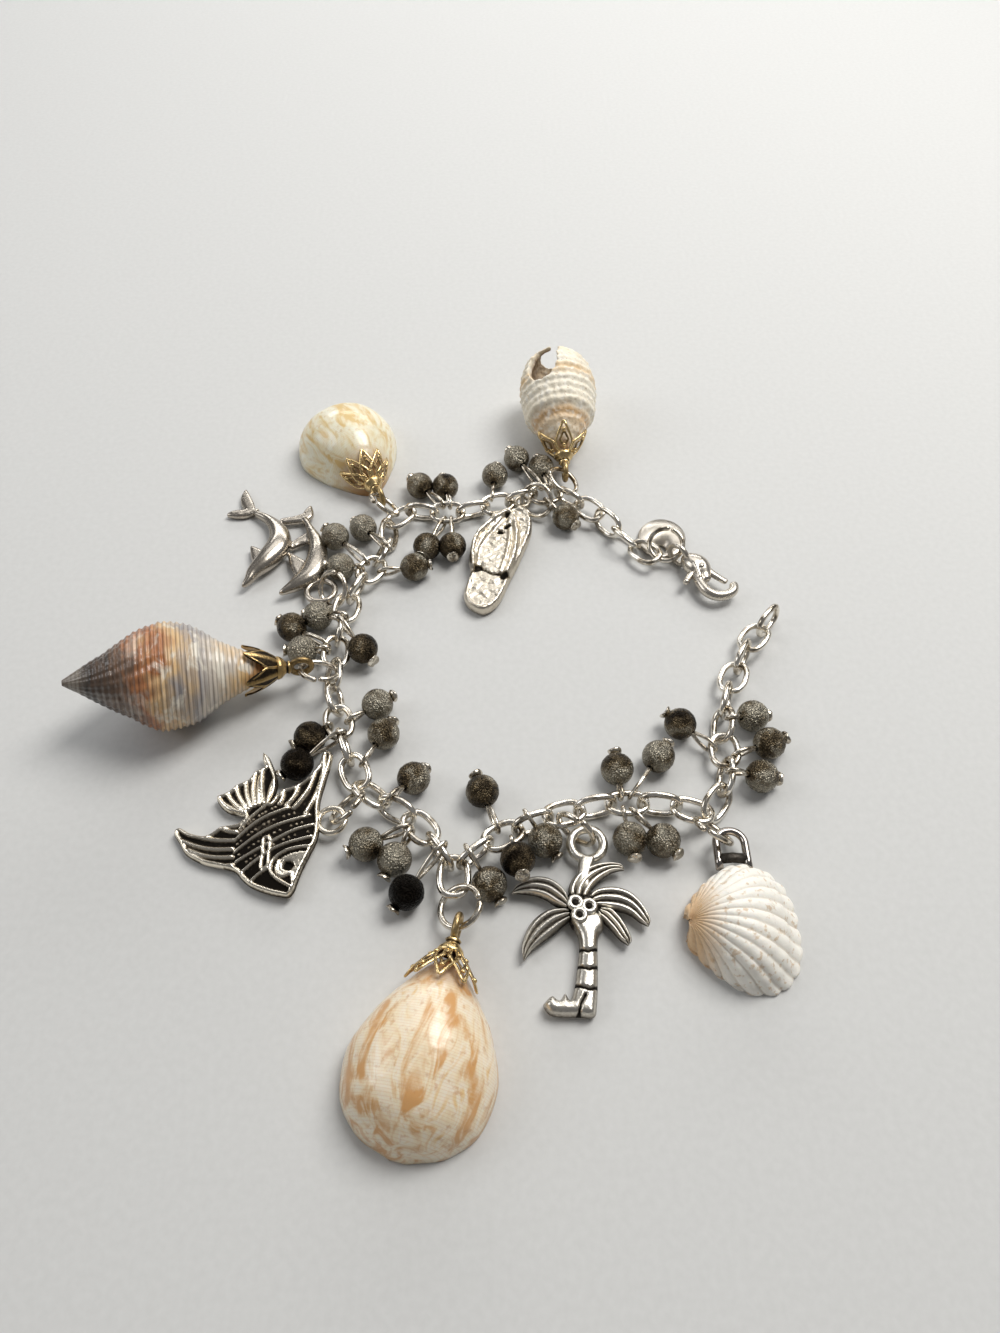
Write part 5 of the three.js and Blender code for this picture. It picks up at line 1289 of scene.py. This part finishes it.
def make_tag():
    """An oval disc with its ring hole at the origin, its edges rounded, running along +X."""
    middle = TAG_LENGTH / 2 - TAG_HOLE / 2 - 0.7
    t = np.linspace(0, 2 * math.pi, 96, endpoint=False)
    outer = np.stack([middle + TAG_LENGTH / 2 * np.cos(t), TAG_WIDTH / 2 * np.sin(t)], -1)
    hole = np.stack([TAG_HOLE / 2 * np.cos(t), TAG_HOLE / 2 * np.sin(t)], -1)
    half = TAG_THICKNESS / 2
    shrink = [(0.0, -half * 0.5), (0.0, half * 0.5), (0.12, half), (1.0, half), (1.0, -half), (0.12, -half)]
    rings = []
    for share, z in shrink:
        flat = outer * (1 - share) + hole * share if share == 1.0 else outer + unit(np.array([[middle,
                                                                                               0]]) - outer) * share
        rings.append(np.column_stack([flat, np.full(96, z)]))
    points = np.stack(rings, 1).reshape(-1, 3)
    return solid(points, grid_faces(96, len(shrink), wrap_rows=True), 0.8)


# Materials
class Nodes:
    """A material under construction: node by node, with inputs given by name."""

    def __init__(self, name):
        self.material = bpy.data.materials.new(name)
        self.material.use_nodes = True
        self.tree = self.material.node_tree
        self.shader = self.tree.nodes["Principled BSDF"]

    def add(self, kind, settings=None, **inputs):
        node = self.tree.nodes.new(kind)
        for key, value in (settings or {}).items():
            setattr(node, key, value)
        for key, value in inputs.items():
            self.put(node.inputs[key.replace("_", " ")], value)
        return node

    def put(self, socket, value):
        if isinstance(value, bpy.types.NodeSocket):
            self.tree.links.new(value, socket)
        else:
            socket.default_value = value

    def set(self, **inputs):
        for key, value in inputs.items():
            self.put(self.shader.inputs[key.replace("_", " ")], value)

    def attribute(self, name):
        node = self.add("ShaderNodeAttribute", {"attribute_name": name})
        return node.outputs["Vector" if name == "place" else "Fac"]

    def coordinates(self, stretch=(1, 1, 1), name=None):
        """Places in millimetres, stretched, from the object or from how the piece was first made."""
        if name:
            source, scale = self.attribute(name), stretch
        else:
            source = self.add("ShaderNodeTexCoord").outputs["Object"]
            scale = tuple(s / MM for s in stretch)
        return self.add("ShaderNodeMapping", Vector=source, Scale=scale).outputs["Vector"]

    def noise(self, vector, scale, detail=3.0, distortion=0.0):
        node = self.add("ShaderNodeTexNoise", Vector=vector, Scale=scale, Detail=detail,
                        Distortion=distortion)
        return node.outputs["Fac"]

    def voronoi(self, vector, scale, output="Distance"):
        return self.add("ShaderNodeTexVoronoi", Vector=vector, Scale=scale).outputs[output]

    def wave(self, vector, scale, distortion=2.0, detail=2.0, direction="X"):
        node = self.add("ShaderNodeTexWave", {"bands_direction": direction}, Vector=vector, Scale=scale,
                        Distortion=distortion, Detail=detail)
        return node.outputs["Fac"]

    def ramp(self, value, *stops):
        node = self.add("ShaderNodeValToRGB", Fac=value)
        points = node.color_ramp.elements
        while len(points) < len(stops):
            points.new(0.5)
        for point, (place, color) in zip(points, stops):
            point.position = place
            point.color = (*color, 1) if hasattr(color, "__len__") else (color, color, color, 1)
        return node.outputs["Color"]

    def mix(self, share, a, b, blend="MIX"):
        node = self.add("ShaderNodeMix", {"data_type": "RGBA", "blend_type": blend})
        for index, value in ((0, share), (6, a), (7, b)):
            if hasattr(value, "__len__") and len(value) == 3 and not isinstance(value, bpy.types.NodeSocket):
                value = (*value, 1)
            self.put(node.inputs[index], value)
        return node.outputs[2]

    def math(self, operation, a, b=0.0, c=0.0):
        node = self.add("ShaderNodeMath", {"operation": operation})
        for socket, value in zip(node.inputs, (a, b, c)):
            self.put(socket, value)
        return node.outputs[0]

    def bump(self, height, strength, distance, normal=None):
        """Raises the surface by height, which is from 0 to 1, times distance in millimetres."""
        node = self.add("ShaderNodeBump", Height=height, Strength=strength, Distance=distance * MM)
        if normal is not None:
            self.put(node.inputs["Normal"], normal)
        return node.outputs["Normal"]


def chain_metal():
    n = Nodes("warm_silver_wire")
    spots = n.coordinates()
    tarnish = n.noise(spots, 0.55, 4)
    scuffs = n.noise(n.coordinates((1, 1, 3)), 5.0, 3)
    color = n.ramp(tarnish, (0.36, (0.34, 0.29, 0.22)), (0.47, (0.80, 0.74, 0.64)),
                   (0.62, (0.88, 0.84, 0.76)))
    n.set(Base_Color=color, Metallic=1.0, Roughness=n.ramp(scuffs, (0.3, 0.13), (0.7, 0.27)),
          Normal=n.bump(scuffs, 0.35, 0.02))
    return n.material


def ring_metal():
    n = Nodes("jump_ring_silver")
    tarnish = n.noise(n.coordinates(), 0.9, 4)
    color = n.ramp(tarnish, (0.35, (0.24, 0.20, 0.15)), (0.5, (0.66, 0.60, 0.50)), (0.66, (0.80, 0.75, 0.66)))
    n.set(Base_Color=color, Metallic=1.0, Roughness=0.22,
          Normal=n.bump(n.noise(n.coordinates(), 6.0), 0.3, 0.02))
    return n.material


def stardust():
    n = Nodes("stardust_silver")
    spots = n.coordinates()
    bright = n.attribute("tone")
    crumbs = n.voronoi(spots, 4.6)
    fine = n.noise(spots, 7.0, 3)
    stain = n.noise(spots, 0.42, 3, 0.4)
    worn = n.math("ADD", stain, n.math("MULTIPLY", bright, 0.42))
    dark = n.ramp(worn, (0.55, (0.03, 0.022, 0.014)), (0.72, (0.30, 0.23, 0.14)), (0.86, (0.80, 0.73, 0.58)))
    pit = n.ramp(n.math("ADD", crumbs, n.math("MULTIPLY", fine, 0.35)), (0.10, 1.0), (0.62, 0.32))
    color = n.mix(1.0, dark, pit, "MULTIPLY")
    # The inside of the drilled hole, where tone is below 0, is painted near-black as shade
    bore = n.ramp(bright, (0.0, 0.0), (0.02, 1.0))
    color = n.mix(bore, (0.006, 0.005, 0.004), color)
    rise = n.math("SUBTRACT", n.math("MULTIPLY", fine, 0.6), crumbs)
    n.set(Base_Color=color, Metallic=1.0, Roughness=n.ramp(fine, (0.35, 0.16), (0.7, 0.42)),
          Normal=n.bump(rise, 1.0, 0.16))
    return n.material


def patina_and_shade(name, deep, shade, high, smooth=0.26, grain=0.35):
    """Cast metal, dark in its recesses, where its tone is 0, and bright on its ridges. The dark in the recesses is
    partly oxide patina and partly painted shade.
    """
    n = Nodes(name)
    spots = n.coordinates()
    speckle = n.noise(spots, 3.2, 4)
    broad = n.noise(spots, 0.35, 2)
    tone = n.math("ADD", n.attribute("tone"), n.math("MULTIPLY", n.math("SUBTRACT", speckle, 0.5), 0.55))
    tone = n.math("ADD", tone, n.math("MULTIPLY", n.math("SUBTRACT", broad, 0.5), 0.35))
    # The deep colour at low tone is oxide patina in the hollows and painted shade there
    color = n.ramp(tone, (0.08, deep), (0.42, shade), (0.85, high))
    rough = n.ramp(tone, (0.1, 0.62), (0.8, smooth))
    n.set(Base_Color=color, Metallic=1.0, Roughness=rough, Normal=n.bump(speckle, grain, 0.07))
    return n.material


def satin():
    n = Nodes("satin_silver")
    spots = n.coordinates()
    cloud = n.noise(spots, 0.5, 4)
    fine = n.noise(spots, 9.0, 3)
    color = n.ramp(cloud, (0.3, (0.44, 0.40, 0.34)), (0.7, (0.66, 0.61, 0.53)))
    n.set(Base_Color=color, Metallic=1.0, Roughness=n.ramp(fine, (0.3, 0.26), (0.7, 0.42)),
          Normal=n.bump(fine, 0.25, 0.03))
    return n.material


def dome_shell(name, body, streak, tip, length, wander):
    """Polished shell: faint growth lines across it, streaks along it, and a darker tip under the cap."""
    n = Nodes(name)
    place = n.attribute("place")
    along = n.add("ShaderNodeSeparateXYZ", Vector=place).outputs["X"]
    shift_noise = n.coordinates((0.16, 0.5, 0.5), "place")
    streaks = n.noise(n.add("ShaderNodeMapping", Vector=shift_noise, Location=wander).outputs["Vector"],
                      1.0, 5, 1.2)
    color = n.ramp(streaks, (0.36, streak[0]), (0.5, body[0]), (0.60, body[1]), (0.72, streak[1]))
    freckles = n.noise(n.coordinates((1, 1, 1), "place"), 1.4, 4)
    color = n.mix(n.ramp(freckles, (0.56, 0.0), (0.72, 0.55)), color, streak[2])
    lines = n.wave(n.coordinates((1, 0.25, 0.25), "place"), 1.1, 3.0, 3)
    color = n.mix(n.ramp(lines, (0.0, 0.22), (0.35, 0.0)), color, streak[0])
    end = n.ramp(n.math("DIVIDE", along, length), (0.04, 1.0), (0.26, 0.0))
    color = n.mix(end, color, tip)
    n.set(Base_Color=color, Roughness=0.3, Coat_Weight=0.35, Coat_Roughness=0.12, Subsurface_Weight=0.12,
          Subsurface_Radius=(0.0025, 0.0016, 0.0008), Subsurface_Scale=0.6,
          Normal=n.bump(n.noise(n.coordinates((1, 3, 3), "place"), 2.0, 4), 0.25, 0.05))
    return n.material


def whelk_skin():
    """Bands wound round the length: dark at the apex end, then grey-blue, white, orange and rust patches."""
    n = Nodes("banded_whelk")
    place = n.attribute("place")
    split = n.add("ShaderNodeSeparateXYZ", Vector=place)
    along = n.math("DIVIDE", split.outputs["X"], WHELK_LENGTH)
    patches = n.noise(n.coordinates((0.34, 0.2, 0.2), "place"), 1.0, 5, 1.0)
    turned_share = n.math("ADD", along, n.math("MULTIPLY", n.math("SUBTRACT", patches, 0.5), 0.34))
    color = n.ramp(turned_share, (0.02, (0.46, 0.18, 0.06)), (0.16, (0.78, 0.52, 0.24)),
                   (0.28, (0.66, 0.58, 0.48)),
                   (0.40, (0.36, 0.34, 0.34)), (0.50, (0.72, 0.50, 0.26)), (0.60, (0.44, 0.17, 0.06)),
                   (0.70, (0.17, 0.10, 0.06)), (0.86, (0.035, 0.028, 0.022)), (0.97, (0.16, 0.13, 0.10)))
    white = n.noise(n.coordinates((0.5, 0.34, 0.34), "place"), 1.0, 4, 0.6)
    pale = n.math("MULTIPLY", n.ramp(white, (0.54, 0.0), (0.66, 0.9)),
                  n.ramp(along, (0.5, 1.0), (0.72, 0.12)))
    color = n.mix(pale, color, (0.86, 0.80, 0.68))
    cords = n.wave(n.coordinates((1, 0.02, 0.02), "place"), 0.64, 0.4, 1)
    color = n.mix(n.ramp(cords, (0.0, 0.5), (0.45, 0.0)), color, (0.07, 0.04, 0.025))
    lip = n.attribute("tone")
    color = n.mix(lip, (0.88, 0.70, 0.58), color)
    n.set(Base_Color=color, Roughness=0.34, Coat_Weight=0.4, Coat_Roughness=0.15,
          Normal=n.bump(n.noise(n.coordinates((2, 2, 2), "place"), 1.6, 4), 0.35, 0.06))
    return n.material


def horn_skin():
    n = Nodes("cream_horn")
    split = n.add("ShaderNodeSeparateXYZ", Vector=n.attribute("place"))
    along = n.math("DIVIDE", split.outputs["X"], HORN_LENGTH)
    wander = n.noise(n.coordinates((0.3, 0.3, 0.3), "place"), 1.0, 4, 0.5)
    bands = n.math("ADD", along, n.math("MULTIPLY", wander, 0.12))
    color = n.ramp(bands, (0.10, (0.52, 0.33, 0.16)), (0.20, (0.86, 0.76, 0.58)), (0.34, (0.66, 0.42, 0.20)),
                   (0.40, (0.88, 0.80, 0.64)), (0.62, (0.90, 0.84, 0.70)), (0.72, (0.76, 0.56, 0.32)),
                   (0.80, (0.90, 0.83, 0.68)), (1.0, (0.84, 0.72, 0.52)))
    chalk = n.noise(n.coordinates((1, 1, 1), "place"), 1.1, 5)
    color = n.mix(n.ramp(chalk, (0.5, 0.0), (0.68, 0.7)), color, (0.93, 0.90, 0.82))
    specks = n.noise(n.coordinates((2, 2, 2), "place"), 1.6, 4)
    color = n.mix(n.ramp(specks, (0.60, 0.0), (0.70, 0.6)), color, (0.40, 0.26, 0.13))
    color = n.mix(n.attribute("tone"), (0.30, 0.17, 0.08), color)
    n.set(Base_Color=color, Roughness=0.55, Coat_Weight=0.15, Coat_Roughness=0.3,
          Normal=n.bump(n.noise(n.coordinates((1, 1, 1), "place"), 3.0, 5), 0.5, 0.12))
    return n.material


def cockle_skin():
    n = Nodes("white_cockle")
    split = n.add("ShaderNodeSeparateXYZ", Vector=n.attribute("place"))
    beak = n.math("DIVIDE", split.outputs["X"], COCKLE["length"])
    specks = n.noise(n.coordinates((1, 1, 1), "place"), 1.5, 4)
    color = n.mix(n.ramp(specks, (0.56, 0.0), (0.66, 0.75)), (0.90, 0.87, 0.79), (0.62, 0.46, 0.30))
    color = n.mix(n.ramp(beak, (0.10, 0.85), (0.30, 0.0)), color, (0.72, 0.46, 0.22))
    color = n.mix(n.ramp(n.attribute("tone"), (0.0, 0.6), (0.5, 0.0)), color, (0.50, 0.42, 0.32))
    n.set(Base_Color=color, Roughness=0.55, Subsurface_Weight=0.08, Subsurface_Radius=(0.002, 0.0015, 0.001),
          Normal=n.bump(n.noise(n.coordinates((1, 1, 1), "place"), 3.0, 4), 0.5, 0.08))
    return n.material


def floor_paper():
    n = Nodes("pale_backdrop")
    fibre = n.noise(n.coordinates(), 1.2, 5)
    n.set(Base_Color=n.ramp(fibre, (0.3, (0.60, 0.60, 0.585)), (0.7, (0.63, 0.63, 0.615))), Roughness=0.85,
          Specular_IOR_Level=0.2, Normal=n.bump(fibre, 0.15, 0.05))
    return n.material


wire = chain_metal()
ring_wire = ring_metal()
sparkle = stardust()
plain_satin = satin()
fish_metal = patina_and_shade("fish_patina_and_shade", (0.012, 0.010, 0.008), (0.20, 0.165, 0.12), (0.86, 0.79, 0.66), 0.2, 0.3)
palm_metal = patina_and_shade("palm_patina_and_shade", (0.02, 0.017, 0.014), (0.25, 0.225, 0.19), (0.72, 0.68, 0.60), 0.28, 0.5)
dolphin_metal = patina_and_shade("antique_dolphin", (0.06, 0.05, 0.04), (0.20, 0.175, 0.145), (0.52, 0.47, 0.40),
                        0.24, 0.15)
sandal_metal = patina_and_shade("flip_flop_patina_and_shade", (0.02, 0.017, 0.013), (0.27, 0.225, 0.155),
                       (0.66, 0.60, 0.50), 0.3, 0.7)
cap_metal = patina_and_shade("aged_brass_cap", (0.014, 0.009, 0.004), (0.15, 0.095, 0.04), (0.80, 0.60, 0.30),
                    0.25, 0.5)
dark_cap_metal = patina_and_shade("dark_crackled_cap", (0.012, 0.010, 0.008), (0.07, 0.05, 0.028),
                         (0.52, 0.36, 0.16), 0.3, 0.9)
bail_metal = patina_and_shade("dark_bail", (0.03, 0.025, 0.02), (0.10, 0.09, 0.08), (0.34, 0.31, 0.28), 0.16, 0.1)
clasp_metal = patina_and_shade("satin_clasp", (0.05, 0.043, 0.034), (0.36, 0.325, 0.275), (0.64, 0.59, 0.51),
                      0.27, 0.12)

# Every piece in the layout, then one shift takes them all into the frame
MAKERS = {
    "horn": make_horn,
    "sandal": lambda: {"flip_flop": make_sandal()},
    "small_shell": lambda: capped(make_dome(SMALL_SHELL, 3), DOME_PETALS, DOME_DROP),
    "dolphins": lambda: {"dolphins": make_dolphins()},
    "whelk": make_whelk,
    "fish": lambda: {"angelfish": make_fish()},
    "big_shell": lambda: capped(make_dome(BIG_SHELL, 11), DOME_PETALS, DOME_DROP),
    "palm": lambda: {"palm_tree": make_palm()},
    "cockle": make_cockle,
    "clasp": make_clasp,
}
charms = {name: hung(name, settled(name, make())) for name, make in MAKERS.items()}
links_made = {"chain_left": joined([link_shape(link) for link in left_links]),
              "chain_right": joined([link_shape(link) for link in right_links])}
rings_made = {side: [] for side in links_made}
for name, hanger in HANGERS.items():
    rings_made["chain_left" if hanger["link"] <= LEFT_LINKS else "chain_right"].append(charms[name]["ring"])

left_reach = joined([links_made["chain_left"], *rings_made["chain_left"]]).points
low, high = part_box("chain_left")
shift = (low + high) / 2 / MM - Vector((left_reach.min(0) + left_reach.max(0)) / 2)
shift.z = (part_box("tag")[0].z / MM) - (0.5 - TAG_THICKNESS / 2)


def show(shape, name, material, nodes=(), body="root"):
    """Makes the piece's object, riding on its body, in place of the given nodes."""
    obj = bpy.data.objects.new(name, to_mesh(shape.moved(Matrix.Translation(shift)), name))
    bpy.context.scene.collection.objects.link(obj)
    obj.data.materials.append(material)
    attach(obj, body)
    if nodes:
        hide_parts(*nodes)
    return obj


for side, links in links_made.items():
    show(links, f"links_{side[6:]}", wire, [side])
    show(joined(rings_made[side]), f"jump_rings_{side[6:]}", ring_wire)

bead_count = {}
for row in BEADS:
    bead_count[row[0]] = bead_count.get(row[0], 0) + 1
    number = f"{row[0]}_{bead_count[row[0]]}"
    bead, loop = bead_pieces(row)
    show(bead, f"rough_bead_{number}", sparkle, [f"bead_{number}"])
    show(loop, f"bead_wire_{number}", ring_wire)

ring_middle = charms["clasp"]["ring_middle"]
tag_place = placed(Vector((ring_middle.x - 0.6, ring_middle.y + 0.9, 0.5)), heading_of(76), heading_of(166))
show(make_tag().moved(tag_place), "oval_tag", plain_satin, ["tag"])

cream_big = dome_shell("cream_dome", ((0.86, 0.72, 0.50), (0.88, 0.78, 0.62)),
                       ((0.66, 0.36, 0.14), (0.80, 0.58, 0.30), (0.55, 0.27, 0.10)), (0.34, 0.15, 0.05),
                       BIG_SHELL["length"], (3.1, 0.4, 0.2))
cream_small = dome_shell("yellow_dome", ((0.86, 0.78, 0.56), (0.90, 0.86, 0.70)),
                         ((0.72, 0.52, 0.22), (0.84, 0.72, 0.44), (0.62, 0.42, 0.18)), (0.42, 0.22, 0.08),
                         SMALL_SHELL["length"], (0.3, 1.4, 0.7))
FINISHES = [
    ("clasp", "clasp_body", "clasp_frame", clasp_metal, "satin_silver", "clasp_body", "root"),
    ("clasp", "clasp_lever", "sprung_lever", clasp_metal, "satin_silver", "clasp_lever", "lever"),
    ("sandal", "flip_flop", "cast_flip_flop", sandal_metal, "cast_pewter", "flip_flop", "root"),
    ("dolphins", "dolphins", "cast_dolphins", dolphin_metal, "cast_pewter", "dolphins", "root"),
    ("fish", "angelfish", "cast_angelfish", fish_metal, "cast_pewter", "angelfish", "root"),
    ("palm", "palm_tree", "cast_palm", palm_metal, "cast_pewter", "palm_tree", "root"),
    ("cockle", "shell", "ribbed_cockle", cockle_skin(), "white_shell", "cockle_shell", "root"),
    ("cockle", "bail", "arched_bail", bail_metal, "satin_silver", "cockle_bail", "root"),
    ("horn", "shell", "horn_snail", horn_skin(), "cream_shell", "horn_shell", "root"),
    ("horn", "cap", "horn_openwork", cap_metal, "aged_brass", "horn_cap", "root"),
    ("whelk", "shell", "banded_snail", whelk_skin(), "banded_shell", "whelk_shell", "root"),
    ("whelk", "cap", "whelk_leaves", dark_cap_metal, "aged_brass", "whelk_cap", "root"),
    ("small_shell", "shell", "small_polished_dome", cream_small, "cream_shell", "small_dome_shell", "root"),
    ("small_shell", "cap", "small_dome_openwork", cap_metal, "aged_brass", "small_dome_cap", "root"),
    ("big_shell", "shell", "big_polished_dome", cream_big, "cream_shell", "big_dome_shell", "root"),
    ("big_shell", "cap", "big_dome_openwork", cap_metal, "aged_brass", "big_dome_cap", "root"),
]
for charm, piece, name, material, slot, node, body in FINISHES:
    show(charms[charm]["pieces"][piece], name, material, [node], body)

# Floor, light and camera
floor = bpy.data.objects.new("floor", bpy.data.meshes.new("floor"))
floor.data.from_pydata([(-2, -2, 0), (2, -2, 0), (2, 2, 0), (-2, 2, 0)], [], [(0, 1, 2, 3)])
floor.data.materials.append(floor_paper())
bpy.context.scene.collection.objects.link(floor)

world = bpy.data.worlds.new("soft_room")
world.use_nodes = True
bpy.context.scene.world = world
background = world.node_tree.nodes["Background"]
background.inputs["Color"].default_value = (0.80, 0.80, 0.82, 1)
background.inputs["Strength"].default_value = 0.22


def softbox(name, place, aim, size, power, color=(1, 1, 1)):
    light = bpy.data.lights.new(name, "AREA")
    light.shape = "RECTANGLE"
    light.size, light.size_y = size
    light.energy = power
    light.color = color
    obj = bpy.data.objects.new(name, light)
    obj.location = place
    obj.rotation_euler = (Vector(aim) - Vector(place)).to_track_quat("-Z", "Y").to_euler()
    bpy.context.scene.collection.objects.link(obj)


softbox("window", (0.22, 0.16, 0.42), (0, 0, 0), (0.22, 0.30), 2.1, (1, 0.985, 0.96))
softbox("left_fill", (-0.40, 0.05, 0.30), (0, 0, 0), (0.25, 0.25), 0.5, (0.97, 0.98, 1))
softbox("back_panel", (-0.02, 0.36, 0.44), (0, 0, 0), (0.36, 0.22), 0.42)
softbox("back_strip", (0.0, 0.42, 0.16), (0, 0, 0), (0.5, 0.06), 0.5)

camera = bpy.data.cameras.new("camera")
camera.lens = CAMERA_LENS
camera.sensor_width = CAMERA_SENSOR
camera.sensor_fit = "AUTO"
camera.clip_start = 0.005
camera_place = bpy.data.objects.new("camera", camera)
camera_place.location = (Vector(CAMERA_PLACE) + shift) * MM
camera_place.rotation_euler = (math.radians(90 - CAMERA_PITCH), 0, 0)
bpy.context.scene.collection.objects.link(camera_place)
bpy.context.scene.camera = camera_place
bpy.context.scene.view_settings.view_transform = "Standard"
